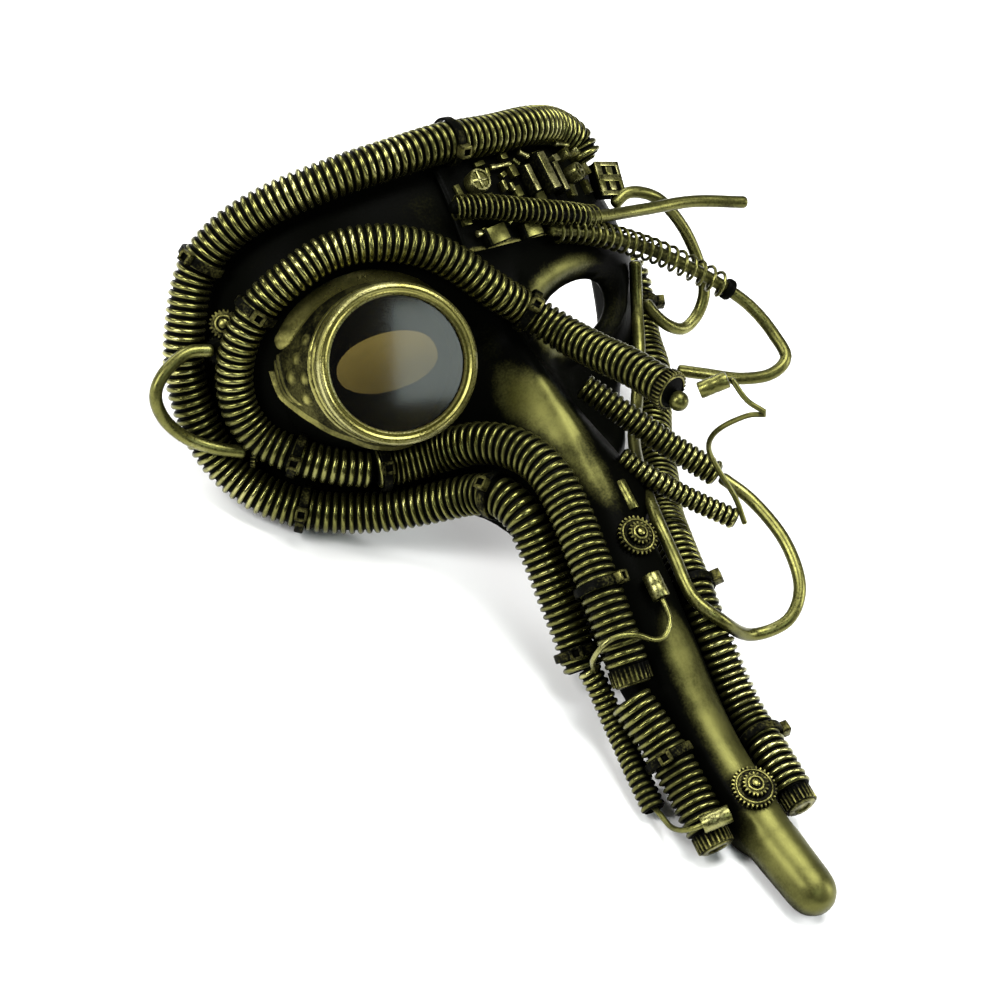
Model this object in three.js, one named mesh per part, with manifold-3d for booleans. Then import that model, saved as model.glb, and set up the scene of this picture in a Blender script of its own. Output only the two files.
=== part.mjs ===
// Long nosed steampunk half mask, resting on its two cheeks and the tip of its nose.
// Pieces are drawn in the mask's own frame, in mm: x to the wearer's left, y up the face, z forward.
import * as THREE from 'three';
import { mergeVertices } from 'three/addons/utils/BufferGeometryUtils.js';
import Module from 'manifold-3d';

const wasm = await Module();
wasm.setup();
const { Manifold } = wasm;

// How the mask rests: tipped back until the cheeks and the nose tip touch the floor.
const REST_PITCH = 43.84; // degrees
const REST_SHIFT = new THREE.Vector3(1.52, 113.98, 18.535);

const WALL = 2; // moulded shell and goggle cup
const GAP = 0.3; // clearance between pieces that touch
const CUT_PAST = 5; // how far a cut runs past the solid that it opens

// Half sections of the face, from the forehead edge down to the corner of the nose.
// Columns: ridge on the middle plane, shoulder, crease, cheek and rim, each [x, y, z].
const FACE_SECTIONS = {
  foreheadEdge: [[0, 64, 51], [26, 63, 49], [48, 59, 41], [65, 52, 28], [76, 44, 10]],
  forehead: [[0, 44, 60], [26, 43, 58], [51, 40, 49], [72, 35, 32], [84, 27, 5]],
  brow: [[0, 21, 66], [25, 21, 63.5], [51, 18, 55], [76, 14, 37], [87, 9, 2]],
  bridge: [[0, 3, 68], [11, 2, 62], [34, 0, 55], [70, -3, 42], [86, -10, 3]],
  noseRoot: [[0, -13, 79], [11, -15, 70], [31, -18, 53], [65, -20, 40], [81, -26, 6]],
  cheekbone: [[0, -28, 90], [12, -31, 80], [27, -31, 54], [55, -34, 39], [70, -40, 15]],
  cheekEdge: [[0, -43, 98], [13, -46, 88], [21, -44, 64], [35, -46, 47], [48, -51, 34]],
  noseCorner: [[0, -57, 105.5], [13.5, -61, 96], [16, -60, 82], [18, -58, 72], [21, -56, 62]],
};
// Sections of the nose below the face: a point of its axis, its half width, and its reach from the
// axis up to the ridge and down to the rim.
const NOSE_SECTIONS = [
  { y: -78, z: 101, halfWidth: 14, rise: 14, depth: 12 },
  { y: -101, z: 112, halfWidth: 12.8, rise: 13, depth: 11 },
  { y: -133, z: 128.5, halfWidth: 10.4, rise: 11, depth: 9 },
  { y: -157, z: 149, halfWidth: 8.4, rise: 8.8, depth: 6.5 },
];
const NOSE_COLUMNS = [
  { wide: 0, high: 1 },
  { wide: 0.72, high: 0.7 },
  { wide: 1, high: 0 },
  { wide: 1, high: -0.5 },
  { wide: 0.95, high: -1 },
];
// Round end of the nose: its overlap with the last section, where it starts tucked inside the wall and
// comes out proud of it, and its taper to the rounding.
const NOSE_TIP = {
  y: -181.5, z: 174, radius: 7.6, arcs: 4,
  overlap: 12, tuck: 0.6, proud: 0.1, taper: 12, widen: 0.3, slim: 0.98,
};
const STEPS = { along: 2, across: 2 };
// Facets of round pieces
const SIDES = {
  goggle: 24, eye: 24, tip: 16, round: 12, strap: 10, hub: 10, hose: 8, post: 8, pipe: 6, wire: 5,
};
const STEP_LENGTH = { hose: 11, pipe: 9, wire: 7, spring: 10 }; // along a swept piece
const EYE = { x: 38, y: 0.5, halfWidth: 17, halfHeight: 9.8, from: 20, to: 90 };

// Goggle over the right eye, on an axis that leaves the shell at its seat
const GOGGLE = {
  seat: new THREE.Vector3(-40.5, -1, 53.5),
  axis: new THREE.Vector3(-0.44, 0.05, 0.9).normalize(),
  base: -10, // heights along the axis, from the seat
  top: 20,
  front: 30,
  baseRadius: 26,
  templeReach: 18, // how much further the base flares on the temple side
  topRadius: 23.8,
  bezelRadius: 25.3,
  lensRadius: 21.9,
  lensThickness: 2.4,
};

// Routes of the hoses, tubes and bent pipes: points of the centre line, chosen by hand
const HOSES = {
  hose_crown: { radius: 7, route: [
    [56, 47.5, 48], [54, 54, 46.5], [45, 60, 49], [30.5, 62.5, 55.5], [12, 62.5, 58.5], [-8.5, 63, 59.5],
    [-27, 61.5, 58],
    [-47, 59, 52], [-64, 54.5, 41], [-76, 48, 31], [-84, 38, 23], [-89, 23, 19], [-91, 8, 16],
    [-89, -9, 15], [-84, -24, 17], [-76, -36, 24], [-64, -44, 33], [-49, -48, 44], [-36, -48, 57],
    [-28, -47, 69], [-25, -48, 80], [-23, -55, 88], [-21.5, -66, 91], [-20.5, -79, 94], [-19.5, -92, 97],
    [-19, -105, 100]] },
  hose_brow: { radius: 6.4, route: [
    [16, -22.5, 120], [14, -15.5, 108], [11.5, -9.5, 95], [8.5, -2.5, 83], [2, 6, 76], [-9, 15.5, 74],
    [-18.5, 25.5, 71], [-28.5, 32.5, 68], [-41, 37, 63], [-54, 37, 56], [-66, 32, 50], [-75, 25, 43],
    [-81, 15, 37], [-83, 4, 32], [-82, -7, 30], [-78, -17, 32], [-71, -24, 38], [-61, -30, 45],
    [-53, -33, 49]] },
  hose_cheek: { radius: 7.2, route: [
    [-50, -33, 51], [-41, -33, 55], [-31, -32, 62], [-24, -31, 74], [-19, -34.5, 86], [-16.5, -42, 96],
    [-16, -54.5, 103], [-17, -67, 109], [-18, -82, 115], [-18, -95, 119], [-18, -103, 121]] },
  hose_nose_near: { radius: 7.2, route: [
    [-19, -113, 125], [-18.5, -121, 129], [-18, -129, 133], [-17.5, -141, 139], [-17.5, -154, 146]] },
  hose_nose_far: { radius: 7, route: [
    [86.5, 2, 22.5], [84.5, -6, 24.5], [79, -18, 32], [72, -28, 43], [64, -39.5, 50], [54, -49.5, 60],
    [45.5, -59.5, 71], [35, -67.5, 83.5], [25.5, -76.5, 99], [19.5, -88, 111.5], [17.5, -102, 119], [18, -118, 124], [18, -130, 130],
    [17, -140, 139], [16, -151, 148]] },
  coil_nose_thin: { radius: 4.2, route: [
    [-24, -106.5, 112], [-22.5, -119.5, 115], [-23.8, -129, 121], [-25.3, -137.4, 127],
    [-25.9, -146, 132]] },
  tube_upper: { radius: 4.7, route: [[15, -21, 80], [23, -32, 88], [32, -43, 94], [45, -57, 102]] },
  tube_lower: { radius: 3.8, route: [[14, -44, 94], [21, -53, 100], [31, -62, 105], [42, -71, 111]] },
};
const PIPE_RADIUS = 2.1;
const WIRE_RADIUS = 0.9;
const PIPES = {
  pipe_crown: { radius: PIPE_RADIUS, route: [
    [-15, 43, 68], [-3, 41, 70], [12, 37, 71], [28, 33, 70], [40, 30, 67], [66, 28, 62], [86, 27, 63],
    [105, 23, 68]] },
  pipe_spring_loop: { radius: PIPE_RADIUS, route: [
    [22, 29, 67], [34, 26.5, 66], [46, 23, 64], [70, 12, 63], [90, -3, 67], [98, -12, 70], [102, -22, 74],
    [102, -30, 78], [96, -34, 77], [88, -34, 71], [80, -30.5, 61], [75, -28, 53.5]] },
  pipe_temple_loop: { radius: PIPE_RADIUS, route: [
    [60, 31, 54], [66, 34, 55], [76, 31, 56], [88, 19, 53], [95, 4, 50], [95, -5, 50], [91.5, -12, 48.5],
    [85, -15.5, 48], [78.5, -13, 48], [73.5, -7, 47], [71.5, -3.5, 47]] },
  pipe_nose_loop: { radius: PIPE_RADIUS, route: [
    [46, -58, 102.5], [51, -67, 110], [53, -82, 121], [50, -96, 127], [43, -104, 127], [32, -106, 122],
    [17, -97, 126], [12, -89, 121], [13, -77, 114], [14, -64, 107], [24, -53, 90], [36, -43, 74],
    [50, -33, 61], [60, -18, 54], [66, -5, 49], [68, 11, 50]] },
  pipe_cheek_ring: { radius: PIPE_RADIUS, route: [
    [-87, 13, 29], [-95, 14, 27], [-104, 9, 25], [-107, 3, 23], [-104, -5, 20], [-97, -13, 20],
    [-89, -18, 23], [-81, -21, 27]] },
  wire_upper: { radius: WIRE_RADIUS, route: [
    [30, -23, 136], [34, -31, 137], [38, -36, 140], [36, -36, 134], [32, -40, 122], [34, -46, 114],
    [38, -54, 112], [42, -64, 113], [44, -73, 113]] },
  wire_middle: { radius: WIRE_RADIUS, route: [
    [-2, -84, 122.5], [-2.4, -88, 125], [-4, -92, 128], [-8, -96, 129], [-12, -96, 129], [-18, -93, 129],
    [-23, -92, 127], [-27, -93, 125], [-29.5, -98, 120], [-25, -103.5, 113.5]] },
  wire_lower: { radius: WIRE_RADIUS, route: [
    [-25.8, -144.5, 131], [-26.2, -148, 136], [-27, -150.5, 140.5], [-27, -151, 146], [-25, -150.2, 150.5],
    [-22.5, -149.4, 152.6]] },
};
// Spring sleeves wound round a stretch of a pipe, as shares of the pipe's length
const SPRINGS = {
  spring_crown: { pipe: 'pipe_crown', from: 0.01, to: 0.47, radius: 4, bore: 2.6 },
  spring_temple: { pipe: 'pipe_spring_loop', from: 0.02, to: 0.511, radius: 4, bore: 2.6 },
};
const SPRING_STOPS = 8; // points taken from the pipe's line

// Knurled caps and the toothed rim on the ends of hoses
const CAPS = {
  cap_cheek: { hose: 'hose_cheek', end: 1, outer: 6.6, root: 6.1, teeth: 20, thick: 6 },
  cap_near: { hose: 'hose_nose_near', end: 1, outer: 6, root: 5.5, teeth: 18, thick: 6 },
  cap_far: { hose: 'hose_nose_far', end: 1, outer: 5.6, root: 5.1, teeth: 18, thick: 6 },
  rim_brow: { hose: 'hose_brow', end: 0, outer: 6.7, root: 6, teeth: 24, thick: 3, bore: 4.4 },
};
const BALL = { radius: 3, ahead: 2.2, aside: 3, turn: 195 }; // in the mouth of the brow hose
// Ferrules: short tubes between two points
const FERRULES = {
  ferrule_nose_upper: { radius: 2, from: [6.3, -50.5, 101.3], to: [6.3, -59.5, 106.2] },
  ferrule_nose_lower: { radius: 2.9, from: [-2, -78, 119.7], to: [-2, -85.5, 123.2] },
  ferrule_brow: { radius: 2.7, from: [21.5, -25, 130], to: [28.5, -23, 136] },
  ferrule_tip: { radius: 2.8, from: [-23.7, -149.8, 151.6], to: [-16.2, -147.8, 156.6] },
};
// Gears lying on the shell, by row and column of its net, a small wheel on each big one
const NOSE_GEARS = {
  gear_nose_upper: { row: 7.72, column: 0.12, outer: 6.4, teeth: 18, small: 3.6, smallTeeth: 11 },
  gear_nose_lower: { row: 10.68, column: -0.2, outer: 7.2, teeth: 20, small: 4.2, smallTeeth: 12 },
};
// Gears at the temple, on the ends of the cheek pipe and on a post of their own
const TEMPLE_GEARS = {
  gear_temple_upper: { point: [-83, 20.5, 32], axis: [-0.6, 0.35, 0.7], outer: 4.2, post: 9 },
  gear_temple_middle: { point: [-86.2, 13, 29.2], axis: [1, -0.1, -0.25], outer: 4.4, post: 0 },
  gear_temple_lower: { point: [-79.5, -21.4, 27.8], axis: [0.75, -0.3, 0.55], outer: 4.6, post: 0 },
};
const WHEEL = { thick: 2, tooth: 1, smallTooth: 0.8, smallTop: 3.6, hubRadius: 1.3, hubTop: 4.6 };
const TEMPLE_WHEEL = { teeth: 18, tooth: 0.8, thick: 2, postRadius: 1.6, postInside: 1 };
// Electronics on the forehead: a bent board, and parts seated on it by row and column of the net
const BOARD = { rows: [0.5, 1.72], columns: [-0.42, 2.3], thick: 1.6, steps: { along: 3, across: 7 } };
const PANEL_PARTS = {
  panel_screw: { row: 0.86, column: 0.04, round: 4, high: 4.5 },
  panel_bar_left: { row: 0.96, column: 0.78, size: [2.6, 10], high: 4.5, spin: 6 },
  panel_bar_middle: { row: 0.9, column: 1.04, size: [4.2, 14], high: 5.5, spin: 6 },
  panel_bar_right: { row: 0.98, column: 1.26, size: [2.8, 11], high: 4.5, spin: 6 },
  panel_dial: { row: 0.92, column: 1.68, round: 3, high: 5 },
  panel_knob: { row: 0.6, column: 1.95, round: 2.2, high: 5 },
  panel_nut: { row: 0.66, column: 2.22, round: 2, high: 6 },
  panel_block_left: { row: 1.58, column: 0.02, size: [9, 6], high: 3.6, spin: 8 },
  panel_block_right: { row: 1.62, column: 0.55, size: [8, 5], high: 3.2, spin: 4 },
};
const SOCKET = { point: [60.5, 38.5, 49], axis: [0.12, 0.3, 0.94], size: [10.5, 12], high: 5, turn: -8 };
// Cable ties: a strap round a hose at a share of its length, with its head turned about the hose
const TIES = [
  { name: 'tie_crown_top', hose: 'hose_crown', at: 0.18, turn: -25 },
  { name: 'tie_crown_temple', hose: 'hose_crown', at: 0.416, turn: 60 },
  { name: 'tie_crown_cheek', hose: 'hose_crown', at: 0.668, turn: 20 },
  { name: 'tie_crown_nose', hose: 'hose_crown', at: 0.836, turn: 10 },
  { name: 'tie_crown_end', hose: 'hose_crown', at: 0.985, turn: 40 },
  { name: 'tie_brow_temple', hose: 'hose_brow', at: 0.657, turn: 15 },
  { name: 'tie_brow_bridge', hose: 'hose_brow', at: 0.235, turn: 0 },
  { name: 'tie_cheek_start', hose: 'hose_cheek', at: 0.02, turn: 0 },
  { name: 'tie_cheek_nose', hose: 'hose_cheek', at: 0.8, turn: -20 },
  { name: 'tie_near', hose: 'hose_nose_near', at: 0.46, turn: 40 },
  { name: 'tie_far_upper', hose: 'hose_nose_far', at: 0.66, turn: -40 },
  { name: 'tie_far_lower', hose: 'hose_nose_far', at: 0.906, turn: -70 },
];
const TIE = { strap: 1, width: 3, head: [3.6, 4.4, 4], headLift: 0.2 };

function solidOf(geometry) {
  const bare = new THREE.BufferGeometry();
  bare.setAttribute('position', geometry.getAttribute('position').clone());
  bare.setIndex(geometry.index);
  const merged = mergeVertices(bare, 1e-4);
  return new Manifold(new wasm.Mesh({
    numProp: 3,
    vertProperties: merged.attributes.position.array,
    triVerts: new Uint32Array(merged.index.array),
  }));
}

function geometryOf(solid) {
  const mesh = solid.getMesh();
  const geometry = new THREE.BufferGeometry();
  geometry.setAttribute('position', new THREE.BufferAttribute(mesh.vertProperties, 3));
  geometry.setIndex(new THREE.BufferAttribute(mesh.triVerts, 1));
  geometry.computeVertexNormals();
  return geometry;
}

// Control net of the shell, one row for each section, from the wearer's right rim to the left rim
function controlNet() {
  const halves = Object.values(FACE_SECTIONS).map((row) => row.map((p) => new THREE.Vector3(...p)));
  NOSE_SECTIONS.forEach((section, i) => {
    const before = NOSE_SECTIONS[Math.max(i - 1, 0)];
    const after = NOSE_SECTIONS[Math.min(i + 1, NOSE_SECTIONS.length - 1)];
    const along = new THREE.Vector3(0, after.y - before.y, after.z - before.z).normalize();
    const out = new THREE.Vector3(0, along.z, -along.y);
    halves.push(NOSE_COLUMNS.map(({ wide, high }) => {
      const reach = high > 0 ? section.rise : section.depth;
      const axis = new THREE.Vector3(wide * section.halfWidth, section.y, section.z);
      return axis.addScaledVector(out, high * reach);
    }));
  });
  return halves.map((half) => {
    const mirrored = half.slice(1).reverse().map((p) => new THREE.Vector3(-p.x, p.y, p.z));
    return [...mirrored, ...half];
  });
}
const NET = controlNet();
const MIDDLE = (NET[0].length - 1) / 2;

// Catmull-Rom point at a fractional index of a list
function along(points, index) {
  const i = Math.min(Math.floor(index), points.length - 2);
  const t = index - i;
  const near = (k) => points[Math.min(Math.max(k, 0), points.length - 1)];
  const [a, b, c, d] = [near(i - 1), near(i), near(i + 1), near(i + 2)];
  const blend = (axis) => b[axis] + 0.5 * t * (c[axis] - a[axis]
    + t * (2 * a[axis] - 5 * b[axis] + 4 * c[axis] - d[axis]
    + t * (3 * (b[axis] - c[axis]) + d[axis] - a[axis])));
  return new THREE.Vector3(blend('x'), blend('y'), blend('z'));
}

// Point of the shell's outside at a row of the net and a column counted from the middle plane
function shellPoint(row, column) {
  return along(NET.map((points) => along(points, column + MIDDLE)), row);
}

// Where a piece sits on the shell: x across, y up the face and z straight out
function seat(row, column, lift = 0, spin = 0) {
  const step = 0.02;
  const across = shellPoint(row, column + step).sub(shellPoint(row, column - step)).normalize();
  const up = shellPoint(Math.max(row - step, 0), column).sub(shellPoint(row + step, column));
  const out = across.clone().cross(up).normalize();
  const turned = new THREE.Matrix4().makeBasis(across, out.clone().cross(across), out);
  turned.multiply(new THREE.Matrix4().makeRotationZ(THREE.MathUtils.degToRad(spin)));
  return turned.setPosition(shellPoint(row, column).addScaledVector(out, lift));
}

function shellGrid() {
  const rows = (NET.length - 1) * STEPS.along;
  const columns = (NET[0].length - 1) * STEPS.across;
  return Array.from({ length: rows + 1 }, (_, i) => Array.from({ length: columns + 1 },
    (__, j) => shellPoint(i / STEPS.along, j / STEPS.across - MIDDLE)));
}

// The grid moved along its own normals, out for a positive distance
function offsetGrid(grid, distance) {
  const end = { i: grid.length - 1, j: grid[0].length - 1 };
  return grid.map((row, i) => row.map((p, j) => {
    const across = row[Math.min(j + 1, end.j)].clone().sub(row[Math.max(j - 1, 0)]);
    const down = grid[Math.min(i + 1, end.i)][j].clone().sub(grid[Math.max(i - 1, 0)][j]);
    return p.clone().addScaledVector(down.cross(across).normalize(), distance);
  }));
}

// A closed solid between two grids of the same size
function betweenGrids(outer, inner) {
  const rows = outer.length;
  const columns = outer[0].length;
  const position = [...outer.flat(), ...inner.flat()].flatMap((p) => [p.x, p.y, p.z]);
  const index = [];
  const at = (side, i, j) => (side * rows + i) * columns + j;
  const quad = (a, b, c, d) => index.push(a, b, c, a, c, d);
  for (let i = 0; i < rows - 1; i += 1) {
    for (let j = 0; j < columns - 1; j += 1) {
      quad(at(0, i, j), at(0, i + 1, j), at(0, i + 1, j + 1), at(0, i, j + 1));
      quad(at(1, i, j), at(1, i, j + 1), at(1, i + 1, j + 1), at(1, i + 1, j));
    }
    quad(at(0, i, 0), at(1, i, 0), at(1, i + 1, 0), at(0, i + 1, 0));
    const last = columns - 1;
    quad(at(0, i, last), at(0, i + 1, last), at(1, i + 1, last), at(1, i, last));
  }
  for (let j = 0; j < columns - 1; j += 1) {
    const last = rows - 1;
    quad(at(0, 0, j), at(0, 0, j + 1), at(1, 0, j + 1), at(1, 0, j));
    quad(at(0, last, j), at(1, last, j), at(1, last, j + 1), at(0, last, j + 1));
  }
  const geometry = new THREE.BufferGeometry();
  geometry.setAttribute('position', new THREE.Float32BufferAttribute(position, 3));
  geometry.setIndex(index);
  return solidOf(geometry);
}

// Turns local +Z onto a direction and moves the origin to a point
function placement(point, direction, toward = new THREE.Vector3(0, 0, 1), turn = 0) {
  const z = direction.clone().normalize();
  const x = toward.clone().addScaledVector(z, -toward.dot(z));
  if (x.length() < 0.1) x.set(0, 1, 0).addScaledVector(z, -z.y);
  x.normalize();
  const matrix = new THREE.Matrix4().makeBasis(x, z.clone().cross(x), z);
  matrix.multiply(new THREE.Matrix4().makeRotationZ(THREE.MathUtils.degToRad(turn)));
  return matrix.setPosition(point);
}
const moved = (solid, matrix) => solid.transform(matrix.elements);

function lathe(profile, segments) {
  const points = profile.map(([r, h]) => new THREE.Vector2(r, h));
  const geometry = new THREE.LatheGeometry(points, segments);
  geometry.rotateX(Math.PI / 2);
  return solidOf(geometry);
}

function cylinder(radius, height, segments) {
  const geometry = new THREE.CylinderGeometry(radius, radius, height, segments);
  geometry.rotateX(Math.PI / 2);
  geometry.translate(0, 0, height / 2);
  return solidOf(geometry);
}

function box(width, height, depth) {
  const geometry = new THREE.BoxGeometry(width, height, depth);
  geometry.translate(0, 0, depth / 2);
  return solidOf(geometry);
}

function circle(radius, sides, Kind = THREE.Shape) {
  const shape = new Kind();
  for (let i = 0; i < sides; i += 1) {
    const angle = (i / sides) * 2 * Math.PI;
    const move = i === 0 ? 'moveTo' : 'lineTo';
    shape[move](radius * Math.cos(angle), radius * Math.sin(angle));
  }
  shape.closePath();
  return shape;
}

const curveOf = ({ route }) => new THREE.CatmullRomCurve3(route.map((p) => new THREE.Vector3(...p)));

function sweep(curve, shape, pitch) {
  const steps = Math.max(2, Math.round(curve.getLength() / pitch));
  return solidOf(new THREE.ExtrudeGeometry(shape, { steps, extrudePath: curve, bevelEnabled: false }));
}

// A flat gear with its back on z = 0, or a knurled disc where its teeth are sharp
function gear({ outer, root, teeth, thick, bore = 0, sharp = false }) {
  const shape = new THREE.Shape();
  const corners = sharp ? [[root, -0.25], [outer, 0.25]]
    : [[root, -0.32], [outer, -0.16], [outer, 0.16], [root, 0.32]];
  for (let tooth = 0; tooth < teeth; tooth += 1) {
    corners.forEach(([radius, share], i) => {
      const angle = ((tooth + share) / teeth) * 2 * Math.PI;
      const move = tooth + i === 0 ? 'moveTo' : 'lineTo';
      shape[move](radius * Math.cos(angle), radius * Math.sin(angle));
    });
  }
  shape.closePath();
  if (bore) shape.holes.push(circle(bore, SIDES.round, THREE.Path));
  return solidOf(new THREE.ExtrudeGeometry(shape, { depth: thick, bevelEnabled: false }));
}

// Shell with its eye holes and closed nose tip
const grid = shellGrid();
function eyeHole(side) {
  const hole = solidOf(new THREE.CylinderGeometry(1, 1, 1, SIDES.eye).rotateX(Math.PI / 2));
  return hole.scale([EYE.halfWidth, EYE.halfHeight, EYE.to - EYE.from])
    .translate([side * EYE.x, EYE.y, (EYE.from + EYE.to) / 2]);
}
function noseTip() {
  const last = NOSE_SECTIONS.at(-1);
  const end = new THREE.Vector3(0, NOSE_TIP.y, NOSE_TIP.z);
  const start = new THREE.Vector3(0, last.y, last.z);
  const direction = end.clone().sub(start).normalize();
  const length = end.distanceTo(start) + NOSE_TIP.overlap;
  const { radius } = NOSE_TIP;
  const profile = [
    [0, 0], [last.halfWidth - NOSE_TIP.tuck, 0], [last.halfWidth + NOSE_TIP.proud, NOSE_TIP.overlap],
    [radius + NOSE_TIP.widen, length - NOSE_TIP.taper],
  ];
  for (let i = 0; i <= NOSE_TIP.arcs; i += 1) {
    const angle = (i / NOSE_TIP.arcs) * (Math.PI / 2);
    profile.push([radius * Math.cos(angle) * NOSE_TIP.slim, length - radius * (1 - Math.sin(angle))]);
  }
  profile.at(-1)[0] = 0;
  start.addScaledVector(direction, -NOSE_TIP.overlap);
  return moved(lathe(profile, SIDES.tip), placement(start, direction));
}
const shell = betweenGrids(grid, offsetGrid(grid, -WALL)).add(noseTip())
  .subtract(eyeHole(-1)).subtract(eyeHole(1));
// Everything behind the shell's outside, so that a piece glued on it is trimmed to its surface
const BEHIND_DEPTH = 60;
const behind = offsetGrid(grid, GAP).map((row) => row.map((p) => p.clone().setZ(p.z - BEHIND_DEPTH)));
const keepOut = betweenGrids(offsetGrid(grid, GAP), behind);

// Pieces are settled one by one: each is trimmed clear of the shell and of those before it.
const mask = new THREE.Group();
mask.rotation.x = THREE.MathUtils.degToRad(90 - REST_PITCH);
mask.position.copy(REST_SHIFT);
const part = new THREE.Group();
part.add(mask);
const settled = [];

const FINISH = {
  shell: { color: 0x3a3520, roughness: 0.42, metalness: 0.65 },
  hose: { color: 0x7d6f36, roughness: 0.38, metalness: 0.8 },
  brass: { color: 0x9a8a48, roughness: 0.34, metalness: 0.85 },
  dark: { color: 0x4c4424, roughness: 0.45, metalness: 0.7 },
  lens: { color: 0x2a1c0c, roughness: 0.05, metalness: 0 },
};
function add(name, solid, finish) {
  const material = new THREE.MeshStandardMaterial(FINISH[finish]);
  if (finish === 'lens') Object.assign(material, { transparent: true, opacity: 0.75 });
  const mesh = new THREE.Mesh(geometryOf(solid), material);
  mesh.name = name;
  mask.add(mesh);
}

const touching = (a, b) => {
  const [p, q] = [a.boundingBox(), b.boundingBox()];
  return [0, 1, 2].every((i) => p.min[i] < q.max[i] && q.min[i] < p.max[i]);
};
const biggest = (solid) => solid.decompose().sort((a, b) => b.volume() - a.volume())[0];

// make(grow) builds the piece, grown all round by that much where it has to clear a neighbour
function settle(name, finish, make, trimmedByShell = true) {
  let solid = make(0);
  const cutters = trimmedByShell ? [keepOut, ...settled] : settled;
  cutters.filter((cutter) => touching(cutter, solid)).forEach((cutter) => {
    solid = solid.subtract(cutter);
  });
  add(name, biggest(solid), finish);
  settled.push(make(GAP));
}

add('mask_shell', shell, 'shell');

// Goggle
const goggleFrame = placement(GOGGLE.seat, GOGGLE.axis, new THREE.Vector3(1, 0, 0));
function cupLoft(inset, base, top) {
  const sides = SIDES.goggle;
  const ring = (height) => {
    const share = (height - GOGGLE.base) / (GOGGLE.top - GOGGLE.base);
    return Array.from({ length: sides }, (_, i) => {
      const angle = (i / sides) * 2 * Math.PI;
      const temple = ((1 - Math.cos(angle)) / 2) ** 2;
      const low = GOGGLE.baseRadius + GOGGLE.templeReach * temple;
      const radius = low + (GOGGLE.topRadius - low) * share - inset;
      return new THREE.Vector3(radius * Math.cos(angle), radius * Math.sin(angle), height);
    });
  };
  const points = [...ring(base), ...ring(top)].flatMap((p) => p.toArray());
  const index = [];
  for (let i = 0; i < sides; i += 1) {
    const j = (i + 1) % sides;
    index.push(i, j, sides + j, i, sides + j, sides + i);
    if (i > 0 && i < sides - 1) index.push(0, i + 1, i, sides, sides + i, sides + i + 1);
  }
  const geometry = new THREE.BufferGeometry();
  geometry.setAttribute('position', new THREE.Float32BufferAttribute(points, 3));
  geometry.setIndex(index);
  return solidOf(geometry);
}
function goggleCup(grow) {
  const outside = cupLoft(-grow, GOGGLE.base, GOGGLE.top + grow);
  const inside = cupLoft(WALL + grow, GOGGLE.base - CUT_PAST, GOGGLE.top + CUT_PAST);
  return moved(outside.subtract(inside), goggleFrame);
}
function goggleBezel(grow) {
  const { bezelRadius: r, front, lensRadius } = GOGGLE;
  const bottom = GOGGLE.top + GAP;
  const profile = [
    [lensRadius + GAP - grow, bottom - grow], [r - 0.8 + grow, bottom - grow], [r - 0.8 + grow, bottom + 3],
    [r + grow, bottom + 4], [r + grow, front - 1.4], [r - 1 + grow, front + grow],
    [r - 2.9 - grow, front + grow], [r - 4.3 - grow, front - 1.4], [r - 4.3 - grow, front - 2.6 - grow],
    [lensRadius + GAP - grow, front - 2.6 - grow]];
  return moved(lathe([...profile, profile[0]], SIDES.goggle), goggleFrame);
}
function goggleLens(grow) {
  const back = GOGGLE.front - 2.6 - GAP - GOGGLE.lensThickness - grow;
  const disc = cylinder(GOGGLE.lensRadius + grow, GOGGLE.lensThickness + 2 * grow, SIDES.goggle);
  return moved(disc.translate([0, 0, back]), goggleFrame);
}
settle('goggle_cup', 'brass', goggleCup);
settle('goggle_bezel', 'brass', goggleBezel);
settle('goggle_lens', 'lens', goggleLens);

// Hoses, pipes, wires and spring sleeves
const CURVES = {};
for (const [name, hose] of Object.entries({ ...HOSES, ...PIPES })) {
  CURVES[name] = curveOf(hose);
  const kind = hose.radius > PIPE_RADIUS ? 'hose' : hose.radius > WIRE_RADIUS ? 'pipe' : 'wire';
  const finish = kind === 'hose' ? 'hose' : 'brass';
  settle(name, finish, (grow) => {
    const section = circle(hose.radius + grow, SIDES[kind]);
    return sweep(CURVES[name], section, STEP_LENGTH[kind]);
  });
}
for (const [name, spring] of Object.entries(SPRINGS)) {
  const curve = CURVES[spring.pipe];
  const stops = Array.from({ length: SPRING_STOPS + 1 },
    (_, i) => spring.from + (spring.to - spring.from) * (i / SPRING_STOPS));
  const stretch = new THREE.CatmullRomCurve3(stops.map((share) => curve.getPointAt(share)));
  settle(name, 'brass', (grow) => {
    const section = circle(spring.radius + grow, SIDES.hose);
    section.holes.push(circle(spring.bore - grow, SIDES.pipe, THREE.Path));
    return sweep(stretch, section, STEP_LENGTH.spring);
  });
}

// Ends of the hoses
function endOf(name, end) {
  const tangent = CURVES[name].getTangentAt(end);
  if (end === 0) tangent.negate();
  return { point: CURVES[name].getPointAt(end), tangent };
}
for (const [name, cap] of Object.entries(CAPS)) {
  const { point, tangent } = endOf(cap.hose, cap.end);
  settle(name, 'dark', (grow) => {
    const bore = cap.bore ? cap.bore - grow : 0;
    const sized = { outer: cap.outer + grow, root: cap.root + grow, thick: cap.thick + 2 * grow, bore };
    const start = point.clone().addScaledVector(tangent, GAP - grow);
    return moved(gear({ ...cap, ...sized, sharp: true }), placement(start, tangent));
  });
}
{
  const { point, tangent } = endOf('hose_brow', 0);
  const ahead = point.addScaledVector(tangent, GAP + CAPS.rim_brow.thick + BALL.ahead);
  const place = placement(ahead, tangent, new THREE.Vector3(0, 0, 1), BALL.turn);
  settle('ball_brow', 'brass', (grow) => {
    const ball = solidOf(new THREE.SphereGeometry(BALL.radius + grow, SIDES.round, 7));
    return moved(ball.translate([BALL.aside, 0, 0]), place);
  });
}

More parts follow.
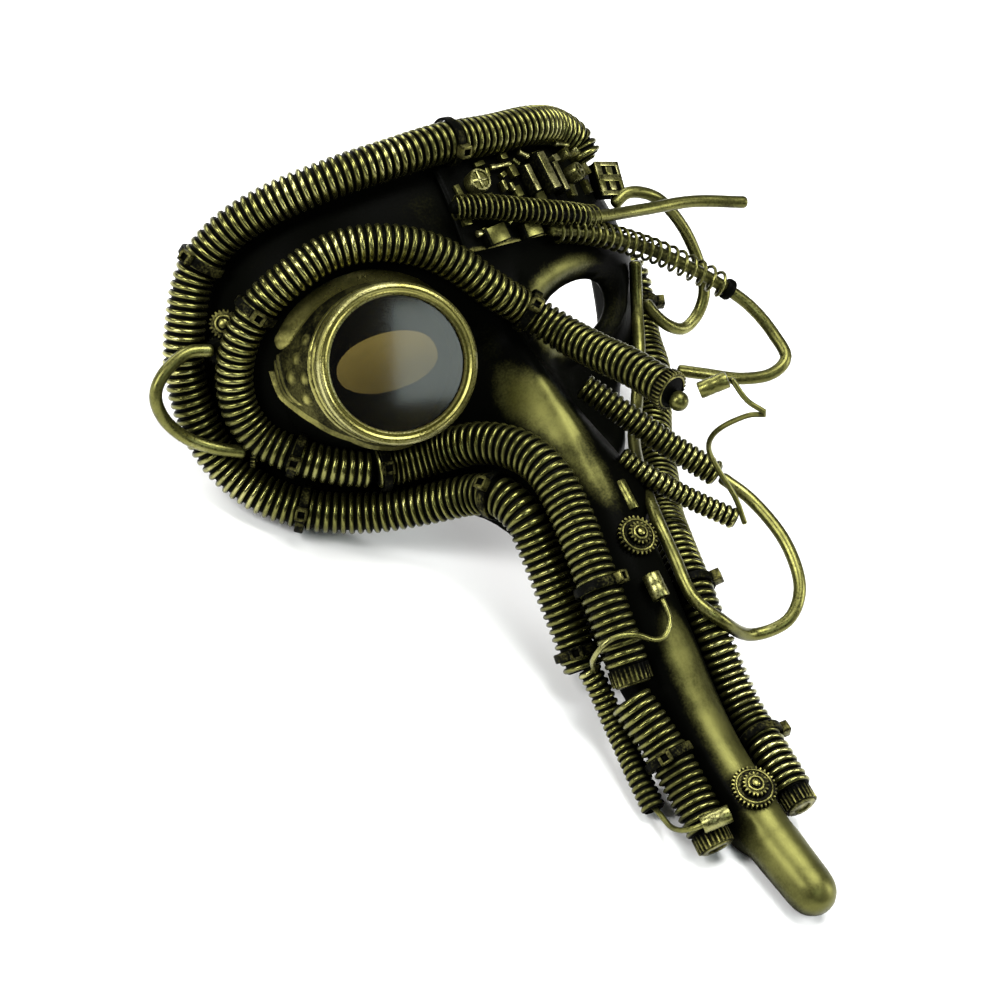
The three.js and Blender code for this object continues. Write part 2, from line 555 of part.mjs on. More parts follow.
// Ferrules and gears
for (const [name, ferrule] of Object.entries(FERRULES)) {
  const from = new THREE.Vector3(...ferrule.from);
  const to = new THREE.Vector3(...ferrule.to);
  const direction = to.clone().sub(from).normalize();
  settle(name, 'brass', (grow) => {
    const tube = cylinder(ferrule.radius + grow, from.distanceTo(to) + 2 * grow, SIDES.round);
    return moved(tube, placement(from.clone().addScaledVector(direction, -grow), direction));
  });
}
for (const [name, wheel] of Object.entries(NOSE_GEARS)) {
  settle(name, 'dark', (grow) => {
    const outer = wheel.outer + grow;
    const small = wheel.small + grow;
    const big = gear({ outer, root: outer - WHEEL.tooth, teeth: wheel.teeth, thick: WHEEL.thick + grow });
    const top = gear({
      outer: small, root: small - WHEEL.smallTooth, teeth: wheel.smallTeeth, thick: WHEEL.smallTop + grow,
      sharp: true,
    });
    const hub = cylinder(WHEEL.hubRadius + grow, WHEEL.hubTop + grow, SIDES.hub);
    return moved(big.add(top).add(hub), seat(wheel.row, wheel.column, GAP));
  });
}
for (const [name, wheel] of Object.entries(TEMPLE_GEARS)) {
  const place = placement(new THREE.Vector3(...wheel.point), new THREE.Vector3(...wheel.axis));
  settle(name, 'dark', (grow) => {
    const outer = wheel.outer + grow;
    const { teeth, tooth, thick, postRadius, postInside } = TEMPLE_WHEEL;
    const disc = gear({ outer, root: outer - tooth, teeth, thick: thick + 2 * grow, sharp: true });
    const solid = disc.translate([0, 0, -grow]);
    const post = cylinder(postRadius + grow, wheel.post + postInside, SIDES.post);
    return moved(wheel.post ? solid.add(post.translate([0, 0, -wheel.post])) : solid, place);
  });
}

// Forehead electronics
settle('panel_board', 'dark', (grow) => {
  const [top, bottom] = BOARD.rows;
  const [left, right] = BOARD.columns;
  const { along: rows, across: columns } = BOARD.steps;
  const patch = (lift) => Array.from({ length: rows + 1 }, (_, i) => {
    const row = top + (bottom - top) * (i / rows);
    return Array.from({ length: columns + 1 }, (__, j) => {
      const place = seat(row, left + (right - left) * (j / columns), lift);
      return new THREE.Vector3().setFromMatrixPosition(place);
    });
  });
  return betweenGrids(patch(2 * GAP + BOARD.thick + grow), patch(2 * GAP - grow));
});
const onBoard = 3 * GAP + BOARD.thick;
for (const [name, piece] of Object.entries(PANEL_PARTS)) {
  settle(name, 'brass', (grow) => {
    const high = piece.high + 2 * grow;
    const solid = piece.round ? cylinder(piece.round + grow, high, SIDES.round)
      : box(piece.size[0] + 2 * grow, piece.size[1] + 2 * grow, high);
    return moved(solid, seat(piece.row, piece.column, onBoard - grow, piece.spin ?? 0));
  });
}
settle('panel_socket', 'brass', (grow) => {
  const [width, height] = SOCKET.size;
  const solid = box(width + 2 * grow, height + 2 * grow, SOCKET.high + 2 * grow);
  const axis = new THREE.Vector3(...SOCKET.axis).normalize();
  const point = new THREE.Vector3(...SOCKET.point);
  const place = placement(point, axis, new THREE.Vector3(1, 0, 0), SOCKET.turn);
  return moved(solid.translate([0, 0, -grow]), place);
});

// Cable ties
for (const { name, hose, at, turn } of TIES) {
  const { radius } = HOSES[hose];
  const place = placement(CURVES[hose].getPointAt(at), CURVES[hose].getTangentAt(at), undefined, turn);
  settle(name, 'dark', (grow) => {
    const clear = (radius + 2 * GAP) / Math.cos(Math.PI / SIDES.strap);
    const strap = circle(clear + TIE.strap + grow, SIDES.strap);
    strap.holes.push(circle(clear - grow, SIDES.strap, THREE.Path));
    const depth = TIE.width + 2 * grow;
    const band = solidOf(new THREE.ExtrudeGeometry(strap, { depth, bevelEnabled: false }));
    const [out, across, alongHose] = TIE.head.map((size) => size + 2 * grow);
    const head = solidOf(new THREE.BoxGeometry(out, across, alongHose))
      .translate([radius + 2 * GAP + TIE.headLift + TIE.head[0] / 2, 0, 0]);
    return moved(band.translate([0, 0, -depth / 2]).add(head), place);
  });
}

export default part;
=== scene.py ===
# %% [markdown]
# # A long nosed steampunk mask
# The real thing is a moulded half mask, painted black and rubbed with gold on all that stands out.
# Ribbed hoses, bent pipes, springs, gears and a goggle are glued on it. The solids come from the
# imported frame, and this lesson dresses them one by one. Each piece is drawn in the mask's own frame
# and then laid on the table.

# %% Load the fixed frame
import math

import bmesh
import bpy
from mathutils import Matrix, Vector
from mathutils.bvhtree import BVHTree


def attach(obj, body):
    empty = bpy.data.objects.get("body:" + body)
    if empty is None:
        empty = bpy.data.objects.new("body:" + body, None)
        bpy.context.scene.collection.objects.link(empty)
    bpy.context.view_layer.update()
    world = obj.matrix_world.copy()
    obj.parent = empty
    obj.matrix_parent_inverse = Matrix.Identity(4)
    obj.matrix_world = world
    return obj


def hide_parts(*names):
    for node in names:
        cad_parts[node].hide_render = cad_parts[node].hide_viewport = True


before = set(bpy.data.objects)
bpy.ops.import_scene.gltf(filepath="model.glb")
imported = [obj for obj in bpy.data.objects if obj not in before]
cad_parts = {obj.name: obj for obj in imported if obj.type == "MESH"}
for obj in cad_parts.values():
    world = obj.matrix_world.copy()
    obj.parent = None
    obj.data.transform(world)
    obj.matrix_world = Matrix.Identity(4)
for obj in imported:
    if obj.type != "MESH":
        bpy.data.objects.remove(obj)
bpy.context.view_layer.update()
print("solids in the frame:", len(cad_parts))

# %% [markdown]
# ## The mask's own frame
# A face is easier to think about upright, so sizes below are millimetres with x to the wearer's
# left, y up the face and z forward. One matrix tips that frame back until the cheeks and the nose
# touch the table, and turns millimetres into Blender's metres.

# %% From the face to the table
MM = 0.001
REST_PITCH = 43.84  # degrees
REST_SHIFT = Vector((1.52, 113.98, 18.535))
TIPPED = Matrix.Translation(REST_SHIFT) @ Matrix.Rotation(math.radians(90 - REST_PITCH), 4, "X")
TO_TABLE = Matrix.Scale(MM, 4) @ TIPPED
NOSE_WAY = Vector((0, -0.7, 0.714))
print("nose points to", (TIPPED.to_3x3() @ NOSE_WAY).to_tuple(2))

# %% [markdown]
# ## Camera, light and floor
# The camera stands in front of the mask, to the wearer's right, a little above and rolled. It is
# set from those angles and from where the bridge of the nose falls in the picture. A long lens
# keeps the nose from growing. A few wide lamps and a dim world give metal something soft to mirror,
# with dark gaps between for contrast, and a small bluish window stands where the goggle's lens
# mirrors it.

# %% Camera
VIEW_TURN = math.radians(35)
VIEW_RISE = math.radians(8)
VIEW_ROLL = math.radians(10.5)
VIEW_DISTANCE = 1100
MM_PER_PIXEL = 0.32
BRIDGE = Vector((0, 0, 66))
BRIDGE_PIXEL = (508.5, 332)
PICTURE_PIXELS = 1000
SENSOR_WIDTH = 36
VIEW_END = 20  # metres


def make_camera():
    level = Vector((math.cos(VIEW_TURN), 0, math.sin(VIEW_TURN)))
    back = Vector((-math.sin(VIEW_TURN) * math.cos(VIEW_RISE), math.sin(VIEW_RISE),
                   math.cos(VIEW_TURN) * math.cos(VIEW_RISE)))
    upright = back.cross(level)
    right = level * math.cos(VIEW_ROLL) - upright * math.sin(VIEW_ROLL)
    up = level * math.sin(VIEW_ROLL) + upright * math.cos(VIEW_ROLL)
    middle = PICTURE_PIXELS / 2
    eye = BRIDGE + back * VIEW_DISTANCE
    eye += right * (middle - BRIDGE_PIXEL[0]) * MM_PER_PIXEL
    eye += up * (BRIDGE_PIXEL[1] - middle) * MM_PER_PIXEL
    camera = bpy.data.cameras.new("camera")
    camera.sensor_width = SENSOR_WIDTH
    camera.lens = VIEW_DISTANCE / MM_PER_PIXEL * SENSOR_WIDTH / PICTURE_PIXELS
    camera.clip_end = VIEW_END
    holder = bpy.data.objects.new("camera", camera)
    axes = TIPPED.to_3x3() @ Matrix((right, up, back)).transposed()
    holder.matrix_world = Matrix.Translation(TO_TABLE @ eye) @ axes.to_4x4()
    bpy.context.scene.collection.objects.link(holder)
    bpy.context.scene.camera = holder
    return holder


camera = make_camera()
print("lens", round(camera.data.lens, 1), "camera at", camera.location.to_tuple(2))

# %% Lamps, world and floor
WHITE = (1, 1, 1)
SKY = (0.86, 1, 0.98)
LAMPS = [
    # name, place, aim, width, height, watts, colour
    ("top", (0.1, 0.1, 1.3), (0, 0, 0), 0.7, 0.7, 23, WHITE),
    ("right", (1.0, -0.7, 0.7), (0, 0, 0.05), 0.3, 0.9, 14, WHITE),
    ("left", (-1.2, 0.2, 0.8), (0, 0, 0.05), 0.3, 0.9, 21, WHITE),
    ("behind", (-0.1, 1.1, 0.65), (0, 0.1, 0.0), 1.2, 0.4, 13, WHITE),
    ("window", (-0.2, -0.66, 0.77), (-0.045, 0.055, 0.075), 0.36, 0.24, 1.5, SKY),
]
WORLD_LIGHT = 0.12
FLOOR_SIZE = 6
FLOOR_COLOUR = (0.93, 0.93, 0.92, 1)
FLOOR_ROUGHNESS = 0.9


def make_lamp(name, place, aim, width, height, watts, colour):
    lamp = bpy.data.lights.new(name, "AREA")
    lamp.shape = "RECTANGLE"
    lamp.size = width
    lamp.size_y = height
    lamp.energy = watts
    lamp.color = colour
    holder = bpy.data.objects.new(name, lamp)
    holder.location = place
    holder.rotation_euler = (Vector(aim) - Vector(place)).to_track_quat("-Z", "Y").to_euler()
    bpy.context.scene.collection.objects.link(holder)


def make_stage():
    world = bpy.data.worlds.new("studio")
    world.use_nodes = True
    background = world.node_tree.nodes["Background"]
    background.inputs["Color"].default_value = (*WHITE, 1)
    background.inputs["Strength"].default_value = WORLD_LIGHT
    bpy.context.scene.world = world
    bpy.context.scene.view_settings.view_transform = "Standard"
    bm = bmesh.new()
    bmesh.ops.create_grid(bm, x_segments=1, y_segments=1, size=FLOOR_SIZE / 2)
    mesh = bpy.data.meshes.new("floor")
    bm.to_mesh(mesh)
    bm.free()
    paper = bpy.data.materials.new("pale_paper")
    paper.use_nodes = True
    shader = paper.node_tree.nodes["Principled BSDF"]
    shader.inputs["Base Color"].default_value = FLOOR_COLOUR
    shader.inputs["Roughness"].default_value = FLOOR_ROUGHNESS
    mesh.materials.append(paper)
    floor = bpy.data.objects.new("floor", mesh)
    bpy.context.scene.collection.objects.link(floor)


for lamp in LAMPS:
    make_lamp(*lamp)
make_stage()
print("lamps:", len(LAMPS))

# %% [markdown]
# ## Gold rubbed over black
# The maker paints everything black and drags a nearly dry brush of gold across it. Gold stays on
# crests and open places, and black stays in grooves and corners. One function mixes that: an
# attribute called crest says how proud each point stands, the Ambient Occlusion node finds the
# corners between pieces, and noise breaks both up. The black it leaves in those corners is partly
# paint and partly painted shade, and the paler gold mixed in where the exposure is highest is a
# painted highlight. The same mix steers metal and roughness, so that the black stays paint and the
# gold shines.

# %% Paint
BLACK = (0.0012, 0.0013, 0.0009, 1)
GOLD = (0.2, 0.188, 0.055, 1)
# The paler golds here are mixed in where the exposure is highest, as a painted highlight.
HIGHLIGHT_GOLD = (0.46, 0.44, 0.19, 1)
DULL_GOLD = (0.12, 0.118, 0.034, 1)
DULL_HIGHLIGHT = (0.3, 0.29, 0.125, 1)
PAINT_SHEEN = 0.012
SHELL_SHEEN = 0.004
FULL_EXPOSURE = 1.15
GROOVE_SHARE = 0.05  # of the exposure that is left where the crest is 0
HIGHLIGHT_SPAN = 0.35
HIGHLIGHT_SHARE = 0.75
METAL_FROM = 0.6  # share of gold at which the paint is all metal
METAL = 0.95
SPECK = 0.7  # mm
DENT_DEPTH = 0.4  # mm


def node(tree, kind, inputs=(), **settings):
    made = tree.nodes.new("ShaderNode" + kind)
    for name, value in settings.items():
        setattr(made, name, value)
    for name, value in dict(inputs).items():
        if isinstance(value, bpy.types.NodeSocket):
            tree.links.new(value, made.inputs[name])
        else:
            made.inputs[name].default_value = value
    return made


def sums(tree, operation, first, second):
    return node(tree, "Math", {0: first, 1: second}, operation=operation).outputs[0]


def ramp(tree, value, low, high, to_low=0.0, to_high=1.0):
    inputs = {"Value": value, "From Min": low, "From Max": high, "To Min": to_low, "To Max": to_high}
    return node(tree, "MapRange", inputs, interpolation_type="SMOOTHSTEP").outputs["Result"]


def mixed(tree, share, first, second):
    made = node(tree, "Mix", data_type="RGBA")
    for socket, value in ((0, share), (6, first), (7, second)):
        if isinstance(value, bpy.types.NodeSocket):
            tree.links.new(value, made.inputs[socket])
        else:
            made.inputs[socket].default_value = value
    return made.outputs[2]


def rubbed_paint(name, low, high, patch=14, crest=True, corner=4, gold=GOLD, highlight=HIGHLIGHT_GOLD,
                 rough=(0.42, 0.3), dents=0.08, worn=0.55, speckle=0.09, sheen=PAINT_SHEEN):
    """low and high bound the exposure at which black turns to gold; patch and corner are in mm.

    worn is what is left of the exposure in the palest patches, and speckle how much the grain adds to it.
    """
    paint = bpy.data.materials.new(name)
    paint.use_nodes = True
    tree = paint.node_tree
    shader = tree.nodes["Principled BSDF"]
    shader.inputs["Specular IOR Level"].default_value = sheen
    place = node(tree, "TexCoord").outputs["Object"]
    smudge = node(tree, "TexNoise", {"Vector": place, "Scale": 1 / (patch * MM), "Detail": 6.0,
                                     "Roughness": 0.62})
    speck = node(tree, "TexNoise", {"Vector": place, "Scale": 1 / (SPECK * MM), "Detail": 3.0})
    # Ambient Occlusion darkens corners between pieces: partly black paint the brush misses, partly painted
    # shade.
    corners = node(tree, "AmbientOcclusion", {"Distance": corner * MM}, samples=8)
    patches = ramp(tree, smudge.outputs[0], 0.25, 0.75, worn, FULL_EXPOSURE)
    exposure = sums(tree, "MULTIPLY", corners.outputs["AO"], patches)
    if crest:
        proud = node(tree, "Attribute", attribute_name="crest").outputs["Fac"]
        exposure = sums(tree, "MULTIPLY", exposure, ramp(tree, proud, 0.0, 1.0, GROOVE_SHARE, 1.0))
    grain = ramp(tree, speck.outputs[0], 0.3, 0.7, -speckle, speckle)
    exposure = sums(tree, "ADD", exposure, grain)
    share = ramp(tree, exposure, low, high)
    # Paler gold on the most exposed places is a painted highlight.
    painted_highlight = ramp(tree, exposure, high, high + HIGHLIGHT_SPAN, 0.0, HIGHLIGHT_SHARE)
    colour = mixed(tree, painted_highlight, mixed(tree, share, BLACK, gold), highlight)
    tree.links.new(colour, shader.inputs["Base Color"])
    tree.links.new(ramp(tree, share, 0.0, METAL_FROM, 0.0, METAL), shader.inputs["Metallic"])
    uneven = sums(tree, "ADD", ramp(tree, share, 0, 1, *rough), grain)
    tree.links.new(uneven, shader.inputs["Roughness"])
    bump = node(tree, "Bump", {"Height": speck.outputs[0], "Strength": dents, "Distance": DENT_DEPTH * MM})
    tree.links.new(bump.outputs[0], shader.inputs["Normal"])
    return paint


PAINTS = {
    "shell_bronze": rubbed_paint("shell_bronze", 0.3, 1.05, patch=30, corner=10, gold=DULL_GOLD,
                                 highlight=DULL_HIGHLIGHT, rough=(0.33, 0.47), dents=0.03, speckle=0.04,
                                 sheen=SHELL_SHEEN),
    "hose_gold": rubbed_paint("hose_gold", 0.2, 0.75, patch=45, corner=5, gold=DULL_GOLD, highlight=HIGHLIGHT_GOLD,
                              rough=(0.45, 0.25), dents=0.02, worn=0.42, speckle=0.03),
    "goggle_brass": rubbed_paint("goggle_brass", 0.3, 0.9, patch=20, dents=0.05, speckle=0.04),
    "punched_brass": rubbed_paint("punched_brass", 0.1, 0.75, patch=20, crest=False, dents=0.14,
                                  speckle=0.05),
    "pipe_brass": rubbed_paint("pipe_brass", 0.15, 0.85, patch=24, corner=4, gold=DULL_GOLD, highlight=DULL_HIGHLIGHT,
                               rough=(0.45, 0.34), dents=0.03, worn=0.4),
    "trim_dark": rubbed_paint("trim_dark", 0.4, 1.1, patch=7, corner=2),
    "board_dark": rubbed_paint("board_dark", 0.25, 0.8, patch=6, corner=2),
    "panel_brass": rubbed_paint("panel_brass", 0.1, 0.65, patch=10, corner=2, gold=DULL_GOLD,
                                highlight=HIGHLIGHT_GOLD, dents=0.03, speckle=0.05),
}
print("paints:", ", ".join(PAINTS))

# %% [markdown]
# ## Smoked lens
# The goggle's lens is dark brown glass. Transmission with a brown tint lets the eye hole behind it
# show without bending it, and a coat with a little roughness gives the soft reflection of a window.

# %% Lens glass
LENS_TINT = (0.104, 0.078, 0.02, 1)
LENS_HAZE_TINT = (0.088, 0.066, 0.017, 1)
LENS_IOR = 1.01
LENS_COAT = 0.6
COAT_ROUGHNESS = 0.1
HAZE_PATCH = 12  # mm
HAZE_ROUGHNESS = 0.02


def smoked_glass():
    glass = bpy.data.materials.new("lens_smoke")
    glass.use_nodes = True
    tree = glass.node_tree
    shader = tree.nodes["Principled BSDF"]
    shader.inputs["Transmission Weight"].default_value = 1.0
    shader.inputs["IOR"].default_value = LENS_IOR
    shader.inputs["Coat Weight"].default_value = LENS_COAT
    shader.inputs["Coat Roughness"].default_value = COAT_ROUGHNESS
    place = node(tree, "TexCoord").outputs["Object"]
    haze = node(tree, "TexNoise", {"Vector": place, "Scale": 1 / (HAZE_PATCH * MM), "Detail": 4.0})
    rough = ramp(tree, haze.outputs[0], 0.35, 0.75, 0.0, HAZE_ROUGHNESS)
    tree.links.new(rough, shader.inputs["Roughness"])
    tint = mixed(tree, ramp(tree, haze.outputs[0], 0.3, 0.8), LENS_TINT, LENS_HAZE_TINT)
    tree.links.new(tint, shader.inputs["Base Color"])
    return glass


PAINTS["lens_smoke"] = smoked_glass()
print("lens tint", LENS_TINT[:3])

# %% [markdown]
# ## Turning a bmesh into a piece
# Each piece is finished the same way: it is moved to the table, its normals are set, and its smooth
# faces keep sharp edges where they turn hard. It rides on the body of the mask, takes one of the
# record's finishes and stands for the plain solids that it replaces.

# %% Finishing a piece
SHARP = math.radians(38)


def new_bmesh():
    bm = bmesh.new()
    bm.verts.layers.float.new("crest")
    return bm


def make_piece(bm, name, finish, *stands_for, paint=None):
    bmesh.ops.recalc_face_normals(bm, faces=bm.faces)
    bmesh.ops.transform(bm, matrix=TO_TABLE, verts=bm.verts)
    mesh = bpy.data.meshes.new(name)
    bm.to_mesh(mesh)
    bm.free()
    mesh.shade_smooth()
    mesh.set_sharp_from_angle(angle=SHARP)
    mesh.materials.append(PAINTS[paint or finish])
    piece = bpy.data.objects.new(name, mesh)
    bpy.context.scene.collection.objects.link(piece)
    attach(piece, "root")
    if stands_for:
        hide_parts(*stands_for)
    return piece


def set_crest(bm, verts, value):
    layer = bm.verts.layers.float["crest"]
    for vert in verts:
        vert[layer] = value(vert.co) if callable(value) else value


print("sharp edges over", round(math.degrees(SHARP)), "degrees")

# %% [markdown]
# ## The net of the shell
# The face is a few sections from the forehead down, each with five points from the
# middle line to the rim, and the other half is their mirror. The nose is sections along a slanted
# line that close to a round tip. Curves through the sections give a point for any row and column,
# and gears and boards are seated by the same net.

# %% Sections of the face and the nose
FACE_SECTIONS = [
    # ridge, shoulder, crease, cheek, rim
    [(0, 64, 51), (26, 63, 49), (48, 59, 41), (65, 52, 28), (76, 44, 10)],
    [(0, 44, 60), (26, 43, 58), (51, 40, 49), (72, 35, 32), (84, 27, 5)],
    [(0, 21, 66), (25, 21, 63.5), (51, 18, 55), (76, 14, 37), (87, 9, 2)],
    [(0, 3, 68), (11, 2, 62), (34, 0, 55), (70, -3, 42), (86, -10, 3)],
    [(0, -13, 79), (11, -15, 70), (31, -18, 53), (65, -20, 40), (81, -26, 6)],
    [(0, -28, 90), (12, -31, 80), (27, -31, 54), (55, -34, 39), (70, -40, 15)],
    [(0, -43, 98), (13, -46, 88), (21, -44, 64), (35, -46, 47), (48, -51, 34)],
    [(0, -57, 105.5), (13.5, -61, 96), (16, -60, 82), (18, -58, 72), (21, -56, 62)],
]
NOSE_SECTIONS = [
    # y, z, half width, rise to the ridge, depth to the rim
    (-78, 101, 14, 14, 12),
    (-101, 112, 12.8, 13, 11),
    (-133, 128.5, 10.4, 11, 9),
    (-157, 149, 8.4, 8.8, 6.5),
]
NOSE_COLUMNS = [(0, 1), (0.72, 0.7), (1, 0), (1, -0.5), (0.95, -1)]
TIP_START = Vector((0, -157, 149))
TIP_END = Vector((0, -181.5, 174))
TIP_SECTIONS = [
    # along, radius
    (10, 8.3), (20, 8), (27, 7.7), (31, 6.6), (33.6, 4.4), (34.7, 2.2), (35, 0.2),
]
TIP_COLUMNS = [(0, 1), (0.71, 0.71), (1, 0), (0.71, -0.71), (0, -1)]


def half_net():
    rows = [[Vector(point) for point in row] for row in FACE_SECTIONS]
    for index, (y, z, wide, rise, depth) in enumerate(NOSE_SECTIONS):
        before = NOSE_SECTIONS[max(index - 1, 0)]
        after = NOSE_SECTIONS[min(index + 1, len(NOSE_SECTIONS) - 1)]
        down = Vector((0, after[0] - before[0], after[1] - before[1])).normalized()
        out = Vector((0, down.z, -down.y))
        rows.append([Vector((across * wide, y, z)) + out * high * (rise if high > 0 else depth)
                     for across, high in NOSE_COLUMNS])
    down = (TIP_END - TIP_START).normalized()
    out = Vector((0, down.z, -down.y))
    for distance, radius in TIP_SECTIONS:
        middle = TIP_START + down * distance
        rows.append([middle + Vector((across * radius, 0, 0)) + out * high * radius
                     for across, high in TIP_COLUMNS])
    return rows


NET = [[Vector((-p.x, p.y, p.z)) for p in row[:0:-1]] + row for row in half_net()]
MIDDLE = len(NET[0]) // 2


def along(points, index):
    """Catmull-Rom point at a fractional index of a list."""
    i = min(int(index), len(points) - 2)
    t = index - i
    a, b, c, d = (points[min(max(k, 0), len(points) - 1)] for k in range(i - 1, i + 3))
    return b + 0.5 * t * (c - a + t * (2 * a - 5 * b + 4 * c - d + t * (3 * (b - c) + d - a)))


def shell_point(row, column):
    return along([along(points, column + MIDDLE) for points in NET], row)


def seat(row, column, lift=0, spin=0):
    """Place on the shell: x across, y up the face, z straight out."""
    step = 0.02
    across = (shell_point(row, column + step) - shell_point(row, column - step)).normalized()
    up = shell_point(max(row - step, 0), column) - shell_point(row + step, column)
    out = across.cross(up).normalized()
    turn = Matrix((across, out.cross(across), out)).transposed().to_4x4()
    return (Matrix.Translation(shell_point(row, column) + out * lift) @ turn
            @ Matrix.Rotation(math.radians(spin), 4, "Z"))


print("net rows", len(NET), "columns", len(NET[0]))

# %% [markdown]
# ## The shell
# A flat grid is laid over the net, so one operator gives clean rows of quads. Faces inside the eye
# holes are deleted and the edge that is left is drawn onto an ellipse. The moulded lip round the
# open eye is raised along the normals, the far cheek is filled out, and Solidify gives the wall its
# 2 mm.

# %% Shell
SHELL_FACES_ACROSS = 104
SHELL_FACES_ALONG = 156
NET_MERGE = 0.02
WALL = 2
OPEN_EYE = Vector((34.5, 0.8))
GOGGLE_EYE = Vector((-39.5, -1.5))
EYE_HALF = Vector((17, 9.8))
EYES_ABOVE = -40  # y, below which there is no eye
EDGE_SHARES = (0.7, 1.3)  # between which an open edge belongs to an eye hole
LIP_FROM = 8  # x at which the lip of the open eye starts
LIP_HEIGHT = 3.4
LIP_AT = 1.38
LIP_WIDTH = 0.32
LID_SHARE = 0.22  # by which the upper lid is wider
LIP_RUB = 0.74
LIP_FADE = (37, 50)  # x over which the lip's gold fades towards the temple
FADED_LIP = 0.45
# Least gold anywhere on the shell; the faint gold patches it leaves on the black forehead are a painted
# sheen.
SHELL_PAINTED_SHEEN = 0.38
# Rubbed gold down the nose; where the band is narrow, its black flanks are partly painted shade.
NOSE_RUB_AND_SHADE = [
    # height, middle, half width, strength
    (-2, -6, 6, 0), (-9, -6, 8, 0.5), (-20, -5, 9.5, 0.95), (-44, -5, 10, 0.95), (-54, -3, 9, 0.6),
    (-63, 0, 7, 0.3), (-86, 0, 7, 0.4), (-98, 0, 9, 0.85), (-150, 0, 9, 0.9), (-166, 0, 14, 1),
    (-190, 0, 14, 1),
]
FILLS = [
    # middle, half size and shift of the fuller places, on the far cheek and on the nose beside it
    (Vector((37, -46)), Vector((23, 15)), Vector((7, 0, 13))),
    (Vector((14, -57)), Vector((8, 9)), Vector((4, 0, 2))),
]


def eye_share(point):
    """1 on the edge of the nearer eye hole, less inside and more outside."""
    eye = OPEN_EYE if point.x > 0 else GOGGLE_EYE
    return math.hypot((point.x - eye.x) / EYE_HALF.x, (point.y - eye.y) / EYE_HALF.y)


def lay_grid_on_net(bm):
    bmesh.ops.create_grid(bm, x_segments=SHELL_FACES_ACROSS, y_segments=SHELL_FACES_ALONG, size=0.5)
    columns = {}
    for vert in bm.verts:
        share = round((vert.co.x + 0.5) * SHELL_FACES_ACROSS)
        if share not in columns:
            place = share / SHELL_FACES_ACROSS * (len(NET[0]) - 1)
            columns[share] = [along(points, place) for points in NET]
        vert.co = along(columns[share], (0.5 - vert.co.y) * (len(NET) - 1))
    bmesh.ops.remove_doubles(bm, verts=bm.verts, dist=NET_MERGE)
    bmesh.ops.recalc_face_normals(bm, faces=bm.faces)
    if sum(face.normal.z for face in bm.faces) < 0:
        bmesh.ops.reverse_faces(bm, faces=bm.faces)


def cut_eyes(bm):
    middles = {face: face.calc_center_median() for face in bm.faces}
    inside = [face for face, middle in middles.items() if middle.y > EYES_ABOVE and eye_share(middle) < 1]
    bmesh.ops.delete(bm, geom=inside, context="FACES")
    bm.normal_update()
    for vert in bm.verts:
        share = eye_share(vert.co)
        if not vert.is_boundary or not EDGE_SHARES[0] < share < EDGE_SHARES[1]:
            continue
        eye = OPEN_EYE if vert.co.x > 0 else GOGGLE_EYE
        flat = (vert.co.xy - eye) * (1 / share - 1)
        slope = -(vert.normal.x * flat.x + vert.normal.y * flat.y) / vert.normal.z
        vert.co += Vector((flat.x, flat.y, slope))


def lip_share(point):
    """1 along the top of the rolled lip round the open eye, and 0 away from it."""
    if point.y < EYES_ABOVE or point.x < LIP_FROM:
        return 0
    lid = LID_SHARE * max(0, min(1, (point.y - OPEN_EYE.y) / EYE_HALF.y))
    return math.exp(-(((eye_share(point) - LIP_AT - lid) / (LIP_WIDTH + lid)) ** 2))


def raise_lip(bm):
    bm.normal_update()
    for vert in bm.verts:
        vert.co += vert.normal * LIP_HEIGHT * lip_share(vert.co)


def fill_far_side(bm):
    for vert in bm.verts:
        flat = vert.co.xy
        if flat.x < 0:
            continue
        for middle, half, shift in FILLS:
            away = flat - middle
            vert.co += shift * math.exp(-((away.x / half.x) ** 2) - (away.y / half.y) ** 2)


def rubbed_share(point):
    """How much gold the brush leaves: most along the nose and the lip, little on the forehead.
    The faint gold patches on the forehead are a painted sheen, and the black flanks beside the narrow band
    down the nose are partly painted shade.
    """
    nose = 0
    for upper, lower in zip(NOSE_RUB_AND_SHADE, NOSE_RUB_AND_SHADE[1:]):
        if lower[0] < point.y <= upper[0]:
            t = (upper[0] - point.y) / (upper[0] - lower[0])
            middle, half, strength = (a + (b - a) * t for a, b in zip(upper[1:], lower[1:]))
            nose = strength * math.exp(-(((point.x - middle) / half) ** 2))
    faded = max(0, min(1, (point.x - LIP_FADE[0]) / (LIP_FADE[1] - LIP_FADE[0])))
    lip = LIP_RUB * lip_share(point) * (1 - (1 - FADED_LIP) * faded)
    return max(SHELL_PAINTED_SHEEN, nose, lip)


bm = new_bmesh()
lay_grid_on_net(bm)
cut_eyes(bm)
raise_lip(bm)
set_crest(bm, bm.verts, rubbed_share)
fill_far_side(bm)
bm.normal_update()
SKIN = BVHTree.FromBMesh(bm)
shell = make_piece(bm, "face_shell", "shell_bronze", "mask_shell")
wall = shell.modifiers.new("wall", "SOLIDIFY")
wall.thickness = WALL * MM
wall.offset = -1
print("shell faces", len(shell.data.polygons))

# %% [markdown]
# ## Nothing shows inside
# Many pieces are pressed a little into the shell, so that no gap shows. From behind, the same
# pieces would stick out of its inner wall. A search tree over the skin finds how deep a point lies,
# and what is deeper than the wall hides is drawn back into it.

# %% Depth in the wall
SKIN_REACH = 40
STRAIGHT_IN = 0.8  # of the way to the skin that has to run along its normal
HIDDEN_DEPTH = 1.4


def depth_in_wall(point, straight=STRAIGHT_IN):
    """How deep a point lies under the skin, and the way out."""
    nearest, out, _, away = SKIN.find_nearest(point, SKIN_REACH)
    if nearest is None:
        return 0, Vector()
    deep = (nearest - point).dot(out)
    return (deep, out) if deep > straight * away else (0, out)


